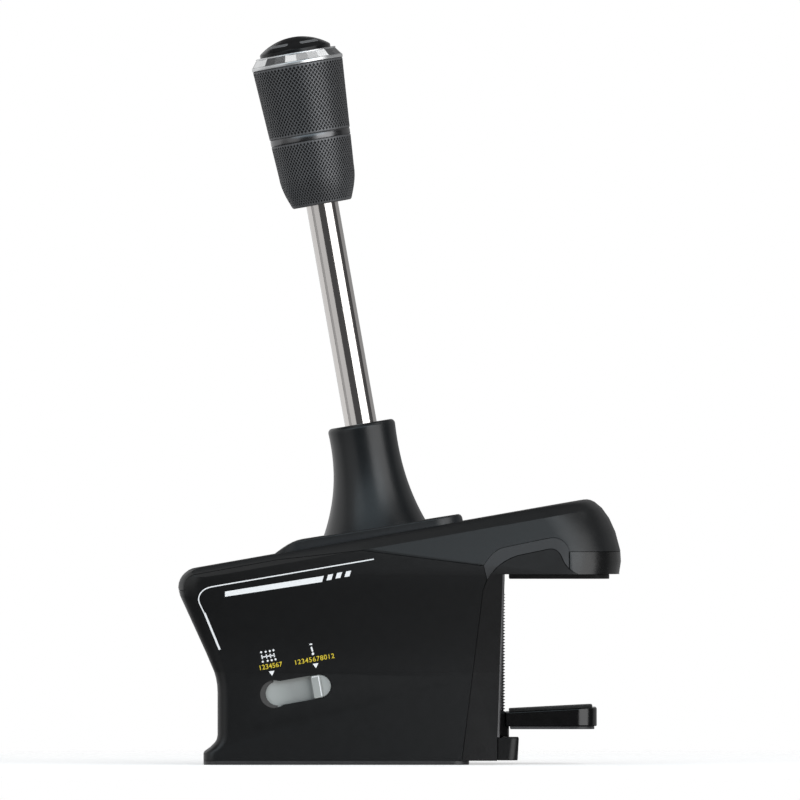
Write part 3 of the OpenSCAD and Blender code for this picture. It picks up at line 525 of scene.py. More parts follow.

# %% [markdown]
# ## The body's shells
# The two halves of the body, the nose's chin, the trim over the clamp and the raised bezel are mouldings.
# Their shapes come from the frame; here the bezel's top edges and the edges of the foot and the floor plate
# are rounded as a mould leaves them, and the other shells are only shaded smooth. The foot's end is
# undercut: its points are slid along by their height, round a level that stays where it is.

# %% Shells
BEZEL_ROUND, BEZEL_BRIM = 0.9, 1.5
FOOT_ROUND, PLATE_ROUND = 0.4, 0.25
FOOT_UNDERCUT, FOOT_LEVEL = 1.3, 0.3
housing = wear(dressed("lower_housing", "side_housing", weigh="CORNER_ANGLE"), shell_black)
wear(dressed("top_cover", "deck_cover", sharp=20), cover_black)
wear(dressed("nose_chin", "nose_end"), chin_black)
wear(dressed("jaw_arch", "arch_trim"), arch_black)
wear(dressed("bezel", "shroud_bezel", BEZEL_ROUND, above=BEZEL_BRIM), bezel_black)
foot = wear(dressed("foot_block", "column_foot", FOOT_ROUND), shell_black)
foot_low, foot_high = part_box("foot_block")
for point in foot.data.vertices:
    if point.co.x > (foot_low.x + foot_high.x) / 2:
        level = (point.co.z - foot_low.z) / (foot_high.z - foot_low.z)
        point.co.x += FOOT_UNDERCUT * MM * (level - FOOT_LEVEL)
wear(dressed("base_plate", "floor_plate", PLATE_ROUND), plate_black)

# %% [markdown]
# A dark block sits deep in the seam between the housing and the clamp's column, so that the seam shows
# dark: painted shade. It is a cube, stretched to size; only its dark colour shows, deep in the seam.

# %% Shade block in the seam
# a dark block that darkens the seam: painted shade
SHADE_BLOCK_CORNERS = ((71.5, -30, 90.5), (76.5, 30, 100.5))  # lowest and highest corner, in millimetres
bpy.ops.object.select_all(action="DESELECT")
bpy.ops.mesh.primitive_cube_add(size=MM)
shade_block = named("column_shade_block")
place(shade_block, Matrix.LocRotScale(Vector([(a + b) / 2 * MM for a, b in zip(*SHADE_BLOCK_CORNERS)]), None,
                               Vector([b - a for a, b in zip(*SHADE_BLOCK_CORNERS)])))
wear(shade_block, pad_black)
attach(shade_block, "base")
print("shade_block", reach([point.co for point in shade_block.data.vertices]))

# %% [markdown]
# ## The clamp
# The column and the upper jaw are one casting. The lower jaw carries a rubber pad and a steel plate, and
# climbs on a screw whose thread shows against the light.

# %% The casting
column = wear(dressed("clamp_frame", "clamp_column"), clamp_black)

# %% [markdown]
# Where the column ends in the desk's gap, its edge is rolled over, and the bead along it is coloured
# lighter than the casting: a painted highlight. A near-black matt bead along the arch's lower edge stands
# for the shadow in the seam between the arch and the beam under it: painted shadow. Each is a chain of
# points that is wrapped onto the side, made a curve and given a thickness.

# %% Tools for beads
PROJECT_FROM = cad_box[0][1] - 2 * MM


def on_column(name, spots):
    """A chain of points along X and Z in millimetres, laid onto the near side of the column."""
    piece = chain(name, [Vector((x * MM, PROJECT_FROM, z * MM)) for x, z in spots])
    apply(piece, "SHRINKWRAP", target=column, wrap_method="PROJECT", use_project_y=True,
          use_negative_direction=False, use_positive_direction=True)
    return piece


def bead_along(piece, r, sink, finish):
    """Turns a chain into a round bead of that radius, sunk in the side, with its mirror image opposite."""
    bpy.ops.object.convert(target="CURVE")
    piece.data.bevel_depth = r * MM
    piece.data.bevel_resolution = 3
    piece.data.use_fill_caps = True
    bpy.ops.object.convert(target="MESH")
    edit(piece)
    bpy.ops.transform.translate(value=(0, sink * MM, 0))
    bpy.ops.mesh.remove_doubles(threshold=0.002 * MM)
    done()
    apply(piece, "MIRROR", use_axis=(False, True, False), use_mirror_merge=False)
    edit(piece)
    bpy.ops.mesh.normals_make_consistent(inside=False)
    done()
    smooth(piece, 50)
    wear(piece, finish)
    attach(piece, "base")
    print(piece.name, triangles(piece), "triangles")


def bow(a, b, c, count=8):
    """Points from a to c that leave and arrive in the direction of b."""
    steps = [i / count for i in range(count + 1)]
    return [tuple((1 - t) ** 2 * p + 2 * t * (1 - t) * q + t * t * r for p, q, r in zip(a, b, c))
            for t in steps]


def straight(a, b, count):
    """Evenly spaced points from a to b."""
    return bow(a, tuple((p + q) / 2 for p, q in zip(a, b)), b, count)


print("beads start at Y", round(PROJECT_FROM / MM, 1), "mm")

# %% Rolled edge, and seam bead of painted shadow
EDGE_BEAD, EDGE_SINK = 1.25, 0.05
SEAM_BEAD, SEAM_HALF, SEAM_PROUD = 0.8, 0.34, 0.03
edge_low, edge_knee, edge_top = (79.95, 13.8), (82.5, 92.6), (82.5, 95.1)
bead_along(on_column("column_edge", straight(edge_low, edge_knee, 24) + [edge_top]), EDGE_BEAD,
           EDGE_BEAD + EDGE_SINK, edge_painted_highlight)
seam_start, spring, crown = (75, 92.4), (90.25, 104.6), (106.3, 107.9)
fall, seam_end = (113, 102), (120.5, 95)
seam = (bow(seam_start, (79.6, 101.2), spring)[1:] + straight(spring, crown, 6)[1:]
        + bow(crown, (110.9, 108.2), fall)[1:] + bow(fall, (114.9, 97.6), seam_end)[1:-2])
under = []
for a, b, c in zip(seam, seam[1:], seam[2:]):
    way = Vector((c[0] - a[0], c[1] - a[1])).normalized() * SEAM_HALF
    under.append((b[0] + way.y, b[1] - way.x))
# near-black matt bead under the arch's edge: painted shadow in the seam
bead_along(on_column("seam_shadow_bead", under), SEAM_BEAD, SEAM_BEAD - SEAM_PROUD, seam_painted_shadow)

# %% [markdown]
# The lower jaw is a gloss black bar with its edges rounded. The pads are rubber and the plate under the
# lower jaw is coated steel; their edges are rounded less, as cut sheet has them.

# %% Jaw and pads
JAW_ROUND, PAD_ROUND, SHEET_ROUND = 0.6, 0.4, 0.3
wear(dressed("clamp_jaw", "lower_jaw", JAW_ROUND), jaw_black)
wear(dressed("upper_pad", "upper_jaw_pad", PAD_ROUND), pad_black)
wear(dressed("jaw_pad", "lower_jaw_pad", PAD_ROUND), pad_black)
wear(dressed("jaw_plate", "lower_jaw_plate", SHEET_ROUND), plate_black)

# %% [markdown]
# The screw is turned as a core with a plain journal at each end, a socket for a key below and a groove for
# its clip. The thread is one ridge's outline, wound up the core by the Screw modifier with the pitch as its
# rise, and cut off flat at both ends by bisecting it.

# %% The screw and its thread
SCREW_R, SCREW_ROOT, SCREW_PITCH = 4.0, 3.2, 1.5
JOURNAL_R = 3.0
KEY_R, KEY_DEEP = 2.1, 4
CLIP_LOW, CLIP_HIGH, CLIP_DEEP = 3.65, 4.35, 0.5
THREAD_FROM, PLAIN_END = 13.3, 6.2
screw_low, screw_high = (corner / MM for corner in (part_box("clamp_screw")[0].z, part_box("clamp_screw")[1].z))
thread_low, thread_high = THREAD_FROM, screw_high - PLAIN_END
screw_at = Matrix.Translation((joints["clamp_screw_turn"]["pos_m"][0], 0, 0))
core = lathe("clamp_spindle", [
    (0, screw_low + KEY_DEEP), (KEY_R, screw_low + KEY_DEEP), (KEY_R, screw_low),
    (JOURNAL_R - 0.3, screw_low), (JOURNAL_R, screw_low + 0.3), (JOURNAL_R, CLIP_LOW),
    (JOURNAL_R - CLIP_DEEP, CLIP_LOW), (JOURNAL_R - CLIP_DEEP, CLIP_HIGH), (JOURNAL_R, CLIP_HIGH),
    (JOURNAL_R, thread_low), (SCREW_ROOT + 0.05, thread_low),
    (SCREW_ROOT + 0.05, thread_high), (JOURNAL_R, thread_high), (JOURNAL_R, screw_high - 0.5),
    (JOURNAL_R - 0.5, screw_high), (0, screw_high)], steps=48)
turns = math.ceil((thread_high - thread_low) / SCREW_PITCH) + 3
ridge = [(SCREW_ROOT, 0), (SCREW_ROOT, 0.2), (SCREW_R - 0.05, 0.62), (SCREW_R, 0.7), (SCREW_R, 0.85),
         (SCREW_R - 0.05, 0.93), (SCREW_ROOT, 1.35), (SCREW_ROOT, SCREW_PITCH)]
thread = chain("thread", [Vector((r * MM, 0, (z + thread_low - SCREW_PITCH) * MM)) for r, z in ridge])
apply(thread, "SCREW", axis="Z", screw_offset=SCREW_PITCH * MM, iterations=turns, steps=40, render_steps=40,
      use_merge_vertices=True, merge_threshold=0.004 * MM, use_smooth_shade=True)
edit(thread)
bpy.ops.mesh.remove_doubles(threshold=0.004 * MM)
for height, upper in ((thread_low, False), (thread_high, True)):
    bpy.ops.mesh.select_all(action="SELECT")
    bpy.ops.mesh.bisect(plane_co=(0, 0, height * MM), plane_no=(0, 0, 1), use_fill=True,
                        clear_inner=not upper, clear_outer=upper)
bpy.ops.mesh.select_all(action="SELECT")
bpy.ops.mesh.normals_make_consistent(inside=False)
done()
screw = join([core, thread])
smooth(screw, 32)
place(screw, screw_at)
wear(screw, thread_steel)
stands_for(screw, "clamp_screw")
print("thread", turns, "turns,", triangles(screw), "triangles")

# %% [markdown]
# ## The lever
# The lever leans back with the deck. Its bar and the shroud on it are turned: the shroud's neck flares
# into a foot that hides the dust dome. The foot sits behind the lever and the waist is drawn in on one side,
# so each ring of the turned shape is slid sideways by its height.

# %% Bar, shroud and dome
SHAFT_R = 8.0
BOOT_LEAN = math.radians(0.45)
FOOT_FORWARD = 2.0
SHROUD_TOP, SHROUD_H = 56.6, 52.6
NECK_R, FOOT_R, WAIST_IN = 16.9, 25.9, 0.62
BAR_LOW, BAR_HIGH = -25.0, 225.0
BAR_SHOWN = (60, 168)
bar = lathe("lever_bar", [(0, BAR_LOW), (SHAFT_R - 0.5, BAR_LOW), (SHAFT_R, BAR_LOW + 0.5)]
            + [(SHAFT_R, z) for z in BAR_SHOWN]
            + [(SHAFT_R, BAR_HIGH - 1), (SHAFT_R - 1, BAR_HIGH), (0, BAR_HIGH)])
smooth(bar)
place(bar, LEVER)
wear(bar, bar_steel)
stands_for(bar, "lever_shaft")


def waist(t):
    """How far the rear of the shroud is drawn in, from the top at 0 to the foot at 1."""
    return WAIST_IN * 4 * t * (1 - t)


def shroud_r(t):
    """Radius of the shroud, from the top at 0 to the foot at 1."""
    return NECK_R + (FOOT_R - NECK_R) * t ** 2.3 - waist(t)


TOP_ROUND, SKIN, FLARE_STEPS = 2.2, 2.0, 40
COLLET_R, COLLET_DEEP, HOLLOW_FROM = SHAFT_R + 0.35, 8, 9
flare = [(shroud_r(i / FLARE_STEPS), -TOP_ROUND - i / FLARE_STEPS * (SHROUD_H - TOP_ROUND))
         for i in range(FLARE_STEPS + 1)]
inside = [(r - SKIN, z) for r, z in flare if z < -HOLLOW_FROM]
shroud = lathe("lever_boot", [(COLLET_R, -COLLET_DEEP), (COLLET_R, -0.5), (COLLET_R + 0.5, 0)]
               + arc(NECK_R - TOP_ROUND, -TOP_ROUND, TOP_ROUND, 90, 0, 8) + flare[1:]
               + list(reversed(inside)) + [(inside[0][0] - 1, -COLLET_DEEP)], closed=True)
for point in shroud.data.vertices:
    down = -point.co.z / (SHROUD_H * MM)
    point.co.x += (waist(down) - FOOT_FORWARD * down) * MM
smooth(shroud, 40)
place(shroud, LEVER @ Matrix.Translation((0, 0, SHROUD_TOP * MM)) @ Matrix.Rotation(BOOT_LEAN, 4, "Y"))
wear(shroud, shroud_black)
stands_for(shroud, "lever_shroud")
wear(dressed("dust_dome", "dust_dome_shell", 0.3, sharp=40), shroud_black)
print("shroud", triangles(shroud), "triangles, bar", triangles(bar))

# %% [markdown]
# ## The knurled grip
# A knurling tool rolls two crossing sets of ridges round the grip and leaves a net of sunk diamonds. A
# fine grid is turned to the grip's outline, every second point is joined to its diagonal neighbours, the
# points between are dissolved, and each diamond that is left is inset twice: once flat, which leaves the
# land, and once inwards, which makes a pit. The pits are given a much darker colour than the land: painted
# shade, standing for the shade deep in them.

# %% Grip outline
KNOB_LOW, FLARE_H, GRIP_TOP = 168.2, 16.3, 239.0
GRIP_LOW_R, GRIP_MID_R, GRIP_R = 14.8, 19.0, 22.7
BAND = (200.6, 203.6)
INSERT_R = 10.55
DIAMONDS = 70
DIAMOND_H = 2.45
PLAIN_RIM, LAND, PIT_WALL, PIT_DEEP = 0.45, 0.2, 0.32, 0.5


def grip_r(z):
    """Radius of the grip at a height: a rounded flare below and a slight taper above it."""
    flare_top = KNOB_LOW + FLARE_H
    if z < flare_top:
        return GRIP_LOW_R + (GRIP_MID_R - GRIP_LOW_R) * math.sin(math.pi / 2 * (z - KNOB_LOW) / FLARE_H)
    return GRIP_MID_R + (GRIP_R - GRIP_MID_R) * (z - flare_top) / (GRIP_TOP - flare_top)


def knurled(name, low, high):
    """A knurled length of the grip, with a plain rim at both ends."""
    start, end = low + PLAIN_RIM, high - PLAIN_RIM
    rows = 2 * round((end - start) / DIAMOND_H)
    heights = [start + (end - start) * i / rows for i in range(rows + 1)]
    wall = [(grip_r(z), z) for z in heights]
    below = [(INSERT_R, low), (grip_r(low) - PLAIN_RIM, low)]
    outline = below + wall + [(grip_r(high) - PLAIN_RIM, high), (INSERT_R, high)]
    piece = lathe(name, outline, steps=2 * DIAMONDS, closed=True)
    spot = {}
    for point in piece.data.vertices:
        r, z = math.hypot(point.co.x, point.co.y) / MM, point.co.z / MM
        row = round((z - start) / (end - start) * rows)
        if 0 <= row <= rows and math.hypot(r - grip_r(heights[row]), z - heights[row]) < 0.05:
            column = round(math.atan2(point.co.y, point.co.x) / (math.pi / DIAMONDS))
            spot[point.index] = (row, (row + column) % 2)
    pick(piece, "VERT", lambda point: spot.get(point.index, (0, 0))[1] == 1)
    bpy.ops.mesh.vert_connect()
    pick(piece, "VERT", lambda point: point.index in spot and spot[point.index][1] == 0
         and 0 < spot[point.index][0] < rows)
    bpy.ops.mesh.dissolve_verts()
    done()
    low_z, high_z = (start - 0.01) * MM, (end + 0.01) * MM
    corner = piece.data.vertices

    def on_wall(face):
        return all(low_z < corner[i].co.z < high_z for i in face.vertices) and len(face.vertices) == 4

    wear(piece, grip_black)
    # the pit faces get the darker finish: painted shade in the pits
    piece.data.materials.append(pit_painted_shade.material)
    diamonds = pick(piece, "FACE", on_wall)
    bpy.ops.mesh.inset(thickness=LAND * MM, use_individual=True)
    piece.active_material_index = 1
    bpy.ops.object.material_slot_assign()
    bpy.ops.mesh.inset(thickness=PIT_WALL * MM, depth=-PIT_DEEP * MM, use_individual=True)
    done()
    smooth(piece, 20)
    place(piece, LEVER)
    print(name, diamonds, "diamonds,", triangles(piece), "triangles")
    return piece


stands_for(knurled("knurled_grip_lower", KNOB_LOW, BAND[0]), "grip_lower")
stands_for(knurled("knurled_grip_upper", BAND[1], GRIP_TOP), "grip_upper")
band_r = grip_r(BAND[0]) - 0.15
ring = lathe("grip_waistband", [
    (INSERT_R, BAND[0]), (band_r, BAND[0]), (band_r + 0.1, BAND[0] + 0.3), (band_r + 0.15, BAND[1] - 0.3),
    (band_r, BAND[1]), (INSERT_R, BAND[1])], closed=True)
smooth(ring, 30)
place(ring, LEVER)
wear(ring, band_black)
stands_for(ring, "grip_band")

# %% [markdown]
# ## Collar and cap
# The collar is turned with a rounded lip, and a ring of flats is milled above it. The corners between the
# flats stand in and out by turns, so that neighbouring flats face different ways and one catches the light
# where the next is dark. A thin turned rim closes the collar round the cap.

# %% Faceted collar
COLLAR_R, COLLAR_TOP, FACETS = 23.0, 245.0, 24
CAP_R, CAP_TOP, CAP_BALL = 17.8, 253.0, 28.5
LIP_TOP, RIM_R = 240.9, 19.5
CORNER_WAVE, LIP_BORE = 0.2, 12.05
hole_r = (CAP_R + 0.2) / math.cos(math.pi / FACETS)
flats = lathe("facet_ring", [(COLLAR_R - 0.25, LIP_TOP), (RIM_R + 0.35, COLLAR_TOP - 0.3),
                             (RIM_R + 0.05, COLLAR_TOP), (hole_r, COLLAR_TOP), (hole_r, LIP_TOP)],
              steps=FACETS, closed=True)
for point in flats.data.vertices:
    corner = round(math.atan2(point.co.y, point.co.x) / (2 * math.pi / FACETS))
    r = math.hypot(point.co.x, point.co.y)
    if r > RIM_R * MM:
        stretch = 1 + CORNER_WAVE * MM / r * (1 if corner % 2 else -1)
        point.co.x *= stretch
        point.co.y *= stretch
smooth(flats, 3)
lip = lathe("collar_lip", [(LIP_BORE, GRIP_TOP), (GRIP_R, GRIP_TOP)]
            + arc(COLLAR_R - 0.4, GRIP_TOP + 0.35, 0.35, -90, 0, 4) + [(COLLAR_R, GRIP_TOP + 1.1)]
            + arc(COLLAR_R - 0.6, LIP_TOP - 0.58, 0.6, 0, 75, 5) + [(LIP_BORE, LIP_TOP)], closed=True)
rim = lathe("collar_rim", [(CAP_R + 0.2, COLLAR_TOP - 0.7), (RIM_R + 0.72, COLLAR_TOP - 0.7)]
            + arc(RIM_R + 0.3, COLLAR_TOP - 0.42, 0.42, 0, 90, 5) + [(CAP_R + 0.2, COLLAR_TOP)], closed=True)
for turned in (lip, rim):
    smooth(turned, 30)
    wear(turned, collar_satin)
collar = join([lip, rim, wear(flats, collar_silver)])
collar.name = "milled_collar"
place(collar, LEVER)
stands_for(collar, "facet_collar")
print("collar", triangles(collar), "triangles")

# %% [markdown]
# The cap is a shallow dome with a softened shoulder. The ring of dashes on it is one flat plate with round
# ends, copied and curled round the axis, then wrapped onto the dome and given a thickness.

# %% Domed cap
STEM_R, CAP_SEAT, CAP_ROUND, SHOULDER_DROP = 12, 241, 0.5, 0.75
ball_z = CAP_TOP - CAP_BALL
shoulder = math.degrees(math.acos((CAP_R - CAP_ROUND) / CAP_BALL))
shoulder_z = ball_z + CAP_BALL * math.sin(math.radians(shoulder))
cap_side = shoulder_z - SHOULDER_DROP
cap = lathe("domed_cap", [(0, GRIP_TOP), (STEM_R, GRIP_TOP), (STEM_R, CAP_SEAT), (CAP_R, CAP_SEAT),
                          (CAP_R, cap_side)]
            + arc(CAP_R - CAP_ROUND, cap_side, CAP_ROUND, 0, 50, 4)
            + arc(0, ball_z, CAP_BALL, shoulder, 90, 14), steps=96)
smooth(cap, 30)
print("cap", triangles(cap), "triangles, shoulder at", round(shoulder_z, 2), "mm")

# %% Dashes on the cap
MARKS, MARK_SPAN, MARK_FROM, MARK_R, MARK_W = 5, math.radians(46), math.radians(-54), 13.7, 2.2
MARK_CUTS, MARK_T, MARK_PROUD = 16, 0.3, 0.02
mark_l = MARK_SPAN * MARK_R
bpy.ops.object.select_all(action="DESELECT")
bpy.ops.mesh.primitive_cylinder_add(vertices=24, radius=MARK_W / 2 * MM, depth=0.2 * MM)
dash = named("dash")
for point in dash.data.vertices:
    push = (mark_l - MARK_W) / 2 * math.copysign(1, point.co.x if abs(point.co.x) > 1e-6 else 1)
    point.co.x += push * MM
pick(dash, "FACE", lambda face: face.normal.z < 0.9)
bpy.ops.mesh.delete(type="FACE")
for cut in range(1, MARK_CUTS):
    bpy.ops.mesh.select_all(action="SELECT")
    bpy.ops.mesh.bisect(plane_co=((cut / MARK_CUTS - 0.5) * mark_l * MM, 0, 0), plane_no=(1, 0, 0))
bpy.ops.mesh.select_all(action="SELECT")
bpy.ops.mesh.bisect(plane_co=(0, 0, 0), plane_no=(0, 1, 0))
done()
bars = []
for i in range(MARKS):
    copy = twin(dash, "dash_copy")
    for point in copy.data.vertices:
        turn = MARK_FROM + 2 * math.pi * i / MARKS + point.co.x / MM / MARK_R
        r = MARK_R * MM - point.co.y
        point.co = (r * math.cos(turn), r * math.sin(turn), (CAP_TOP + 3) * MM)
    bars.append(copy)
bpy.data.objects.remove(dash)
bars = join(bars)
bars.name = "cap_dashes"
edit(bars)
bpy.ops.mesh.normals_make_consistent(inside=False)
done()
apply(bars, "SHRINKWRAP", target=cap, wrap_method="PROJECT", use_project_z=True, use_negative_direction=True,
      use_positive_direction=False, offset=MARK_PROUD * MM)
apply(bars, "SOLIDIFY", thickness=MARK_T * MM, offset=-1)
smooth(bars, 30)
for piece, finish, node in ((cap, cap_gloss, "knob_cap"), (bars, inlay_grey, "gate_marks")):
    place(piece, LEVER)
    wear(piece, finish)
    stands_for(piece, node)
print(MARKS, "dashes,", triangles(bars), "triangles")

# %% [markdown]
# ## The mode slider
# A light grey strip runs behind the window in the side, and a ridge on it gives the thumb a hold.

# %% Slider
SLIDER_ROUND = 0.45
slider = wear(dressed("mode_slider", "mode_slide", SLIDER_ROUND), slider_grey)

# %% [markdown]
# ## Printed marks, and a painted highlight on the slider
# White stripes run along the side, and over the two ends of the mode window stand a small diagram, a row of
# numerals and a pointer. Each mark is drawn flat in front of the side, in pixels of the photograph: two
# chains of points are bridged into a strip. It is then wrapped onto the side and given the thickness of ink.
# A white line along the edges of the slider's ridge is drawn the same way, in the same white: a painted highlight.

# %% Tools for print
INK_T, INK_PROUD = 0.1, 0.03
TYPE_SIZE, TYPE_WEIGHT = 1.37, 0.012
drawn = {"print_white": [], "print_yellow": [], "ridge_painted_highlight": []}


def in_front(px, py):
    """The place of a pixel, in front of the side."""
    x, z = at_pixel(px, py)
    return Vector((x, PROJECT_FROM, z))


def along(a, b, count):
    """Evenly spaced points from one pixel to another."""
    return [(a[0] + (b[0] - a[0]) * i / count, a[1] + (b[1] - a[1]) * i / count) for i in range(count + 1)]


def rounded(spots, count=5):
    """A smooth chain through pixels; the first and the last only give the direction of the ends."""
    chained = []
    for a, b, c, d in zip(spots, spots[1:], spots[2:], spots[3:]):
        for t in (i / count for i in range(count)):
            chained.append(tuple(
                0.5 * (2 * q + (r - p) * t + (2 * p - 5 * q + 4 * r - s) * t ** 2
                       + (3 * q - p - 3 * r + s) * t ** 3)
                for p, q, r, s in zip(a, b, c, d)))
    return chained + [spots[-2]]


def strip(upper, lower, sheet="print_white"):
    """Bridges two chains of pixels."""
    piece = join([chain("strip", [in_front(*spot) for spot in row]) for row in (upper, lower)])
    edit(piece, "EDGE")
    bpy.ops.mesh.bridge_edge_loops()
    done()
    drawn[sheet].append(piece)


def line(spots, width, sheet="print_white"):
    """A line of that many pixels' width along a chain of pixels."""
    upper, lower = [], []
    for i, (x, y) in enumerate(spots):
        before, after = spots[max(i - 1, 0)], spots[min(i + 1, len(spots) - 1)]
        way = Vector((after[0] - before[0], after[1] - before[1])).normalized() * width / 2
        upper.append((x + way.y, y - way.x))
        lower.append((x - way.y, y + way.x))
    strip(upper, lower, sheet)


def dot(px, py, r):
    """A round dot, as a strip between its upper and its lower half."""
    turns = [math.pi * i / 8 for i in range(9)]
    strip([(px - r * math.cos(a), py - r * math.sin(a)) for a in turns[1:-1]],
          [(px - r * math.cos(a), py + r * math.sin(a)) for a in turns[1:-1]])


def numerals(words, px, py, height, spread):
    """Slanted numerals round a pixel, with a height in pixels, set wider by a factor."""
    bpy.ops.object.select_all(action="DESELECT")
    bpy.ops.object.text_add()
    piece = bpy.context.object
    piece.data.body = words
    piece.data.align_x = "CENTER"
    piece.data.align_y = "CENTER"
    piece.data.size = TYPE_SIZE * height * PIXEL
    piece.data.offset = TYPE_WEIGHT * piece.data.size
    piece.data.space_character = spread
    bpy.ops.object.convert(target="MESH")
    upright = Matrix.Rotation(math.pi / 2, 4, "X")
    place(bpy.context.object, Matrix.Translation(in_front(px, py)) @ LEAN @ upright)
    drawn["print_yellow"].append(bpy.context.object)


print("ink", INK_T, "mm thick")

# %% Stripes and symbols
bend = [(374, 558.6), (217.2, 585.3), (208.1, 587.4), (202.4, 591.2), (199.6, 596.2), (199.9, 601.8),
        (205, 612.8)]
line(along(bend[0], bend[1], 60)[:-1] + rounded([(226, 583.8)] + bend[1:] + [(209, 622)]), 1.15)
line(along((205.2, 612.3), (220.3, 648.9), 20), 2.0)
strip(along((225.6, 590.9), (324.1, 575.2), 30), along((225.6, 596.1), (322.3, 581.3), 30))
for px, py in ((330, 576.7), (339, 574.8), (348, 573.3)):
    strip([(px - 1.6, py - 2.5), (px + 3.4, py - 3.3)], [(px - 3.4, py + 3.2), (px + 1.6, py + 2.4)])
for top, low in (((262.0, 654.2), (262.8, 658.2)), ((266.6, 653.6), (267.4, 657.6)),
                 ((270.5, 653.1), (271.3, 657.0)), ((274.1, 652.4), (274.9, 656.2))):
    line(along(top, low, 2), 1.1)
line(along((262.1, 656.4), (274.8, 654.3), 4), 1.0)
for px, py in ((261.6, 651.5), (266.1, 651.0), (270.2, 650.3), (273.8, 649.5),
               (263.2, 660.9), (268.1, 660.0), (272.1, 659.3), (275.9, 658.5)):
    dot(px, py, 1.05)
line(along((309.7, 643.7), (312.5, 643.3), 2), 1.3)
line(along((311.5, 646.1), (312.9, 650.8), 3), 1.6)
dot(313.2, 653.0, 1.3)
for px, py in ((272.1, 672.2), (315.8, 664.6)):
    strip([(px - 2.9, py - 1.6), (px + 2.8, py - 2.4)], [(px + 0.3, py + 2.6), (px + 0.5, py + 2.6)])
numerals("1234567", 270.8, 665.4, 4.9, 1.02)
numerals("12345678012", 314.5, 658.6, 4.9, 1.12)
# white line along the slider ridge's top and right edges: a painted highlight
line([(312.4, 676.3), (318.5, 675.3), (322.0, 694.9)], 0.9, "ridge_painted_highlight")
print({name: len(strips) for name, strips in drawn.items()}, "pieces of print drawn")

# %% [markdown]
# The flat print is thrown straight back onto the side by a Shrinkwrap modifier and given its thickness by
# Solidify. It is cut finer first where it has to follow a bend.

# %% Wrap the print onto the side, and the painted highlight onto the slider
for name, finish, under, cuts in (
        ("print_white", white_ink_and_highlight, housing, 3), ("print_yellow", ink_yellow, housing, 0),
        ("ridge_painted_highlight", white_ink_and_highlight, slider, 1)):
    piece = join(drawn[name])
    piece.name = name
    for face in piece.data.polygons:
        if face.normal.y > 0:
            face.flip()
    if cuts:
        edit(piece)
        bpy.ops.mesh.subdivide(number_cuts=cuts)
        done()
    apply(piece, "SHRINKWRAP", target=under, wrap_method="PROJECT", use_project_y=True,
          use_negative_direction=False, use_positive_direction=True, offset=INK_PROUD * MM)
    apply(piece, "SOLIDIFY", thickness=INK_T * MM, offset=-1)
    wear(piece, finish)
    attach(piece, "slider" if under == slider else "base")
    box = reach([point.co for point in piece.data.vertices])
    print(name, triangles(piece), "triangles", [round(v, 2) for v in box])

# %% [markdown]
# ## What is inside
# The mechanism is hidden at rest but shows in cut views, so each node of it gets its own metal.

# %% Inner nodes
INNER = {
    plain_steel: ["gate_plate", "shift_axles", "gate_axle", "finger", "frame_magnets", "gimbal_magnets",
                  "shift_magnet", "gate_magnet", "mode_magnet", "thrust_washer", "rig_nuts", "usb_socket"],
    cast_aluminium: ["mechanism_frame", "gimbal", "pivot_block"],
    plain_brass: ["shift_bushes", "gate_bushes", "jaw_nut", "knob_insert", "pcb_posts", "sensor_posts"],
    board_green: ["main_pcb", "mode_pcb", "shift_sensor_pcb", "gate_sensor_pcb"],
    screw_black: ["base_screws", "frame_screws", "mechanism_screws", "gate_screws", "foot_screws",
                  "lever_set_screw", "screw_clip"],
    pad_black: ["wiper_ring"],
}
for finish, nodes in INNER.items():
    for node in nodes:
        for slot in frame["nodes"][node].material_slots:
            slot.material = finish.material
print(sum(len(nodes) for nodes in INNER.values()), "inner nodes finished")

# %% [markdown]
# ## Floor and light
# The floor is a pale disc that fades out before its edge, so no horizon shows. The light is that of a
# product studio: tall soft boxes stand round the object with dark gaps between them, which draw the
# bright and dark stripes on the polished bar. A wide cool box hangs high in front and lights the panels
# that lean back, two small ones above pick out the collar's flats, and a dim ceiling fills the rest.

# %% Floor
FLOOR_R, FADE_FROM, FADE_TO = 1.6, 0.12, 0.7
bpy.ops.object.select_all(action="DESELECT")
bpy.ops.mesh.primitive_circle_add(vertices=96, radius=FLOOR_R, fill_type="NGON",
                                  location=(0.03, 0, -0.1 * MM))
floor = named("floor")
paper = Finish("paper", (0.9, 0.9, 0.9), 0.9)
paper.set("Specular IOR Level", 0.1)
paper.set("Emission Color", (1, 1, 1, 1))
paper.set("Emission Strength", 0.55)
paper.roughness(paper.between(paper.noise(300, 4), 0.85, 0.95))
where = paper.node("TexCoord")
span = paper.node("VectorMath", operation="LENGTH")
paper.link(where.outputs["Object"], span.inputs[0])
fade = paper.between(span.outputs["Value"], 0, 1, FADE_FROM, FADE_TO)
clear = paper.node("BsdfTransparent")
mix = paper.node("MixShader")
paper.link(fade, mix.inputs["Fac"])
paper.link(paper.shader.outputs["BSDF"], mix.inputs[1])
paper.link(clear.outputs["BSDF"], mix.inputs[2])
paper.link(mix.outputs["Shader"], paper.tree.nodes["Material Output"].inputs["Surface"])
wear(floor, paper)
floor.visible_glossy = False
print("floor fades out", FADE_TO, "m from its middle")

# %% Soft boxes and background
STUDIO_MID = Vector((0.03, 0, 0.17))


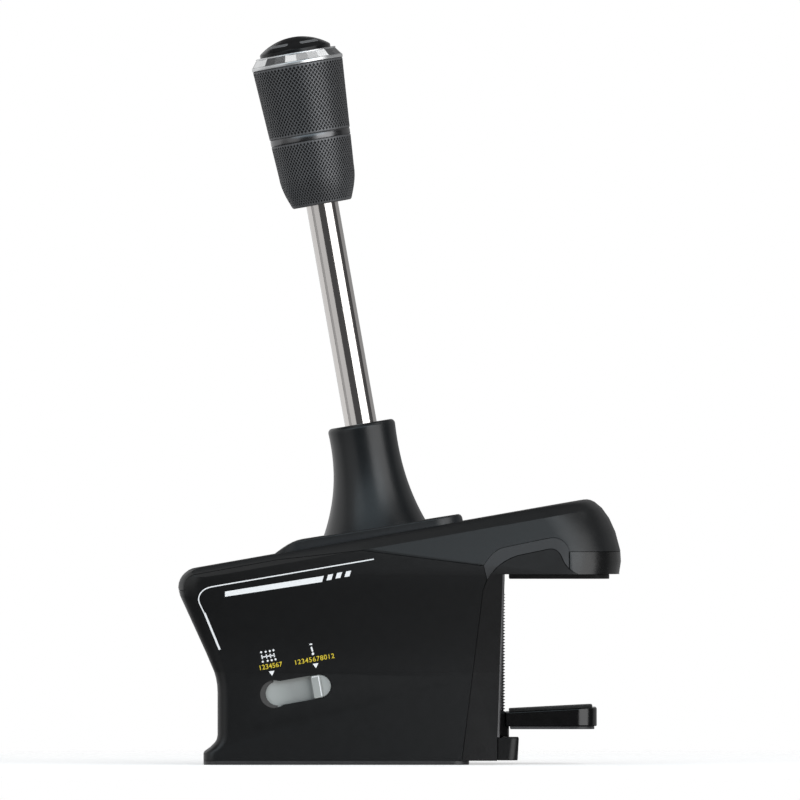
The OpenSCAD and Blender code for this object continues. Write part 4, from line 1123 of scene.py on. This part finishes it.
def soft_box(name, azimuth, elevation, away, width, height, radiance, colour=(1, 1, 1)):
    """A box at an azimuth from the camera's side, to the right, that faces the object."""
    light = bpy.data.lights.new(name, "AREA")
    light.shape = "RECTANGLE"
    light.size, light.size_y = width, height
    light.energy = radiance * width * height * math.pi
    light.color = colour
    lamp = bpy.data.objects.new(name, light)
    a, e = math.radians(azimuth), math.radians(elevation)
    towards = Vector((math.sin(a) * math.cos(e), -math.cos(a) * math.cos(e), math.sin(e)))
    lamp.location = STUDIO_MID + away * towards
    lamp.rotation_euler = towards.to_track_quat("Z", "Y").to_euler()
    lamp.visible_camera = False
    bpy.context.scene.collection.objects.link(lamp)


COOL = (0.74, 0.9, 1.0)
BOX_AWAY, STANDING, STANDING_H = 1.6, 8, 1.6
for name, azimuth, width, radiance in (
        ("front_right", 42, 1.6, 2.2), ("front_left", -51, 1.16, 0.56), ("left_gap", -80, 0.5, 0.34),
        ("left_back", -128, 2.5, 0.72), ("right_back", 143, 2.4, 0.26)):
    soft_box(name, azimuth, STANDING, BOX_AWAY, width, STANDING_H, radiance)
soft_box("front_high", -8, 33, BOX_AWAY, 3.0, 0.9, 1.1, COOL)
soft_box("left_top", -60, 66, BOX_AWAY, 0.7, 0.6, 0.9)
soft_box("right_top", 80, 60, BOX_AWAY, 0.6, 0.7, 1.6)
soft_box("ceiling", 0, 90, 1.8, 2.6, 2.6, 0.1)
world = bpy.data.worlds.new("studio")
world.use_nodes = True
bpy.context.scene.world = world
tree = world.node_tree
seen = tree.nodes["Background"]
seen.inputs["Color"].default_value = (1, 1, 1, 1)
fill = tree.nodes.new("ShaderNodeBackground")
fill.inputs["Color"].default_value = (0.075, 0.075, 0.077, 1)
ray = tree.nodes.new("ShaderNodeLightPath")
which = tree.nodes.new("ShaderNodeMixShader")
tree.links.new(ray.outputs["Is Camera Ray"], which.inputs["Fac"])
tree.links.new(fill.outputs["Background"], which.inputs[1])
tree.links.new(seen.outputs["Background"], which.inputs[2])
tree.links.new(which.outputs["Shader"], tree.nodes["World Output"].inputs["Surface"])
bpy.context.scene.view_settings.view_transform = "Standard"
print("nine soft boxes")
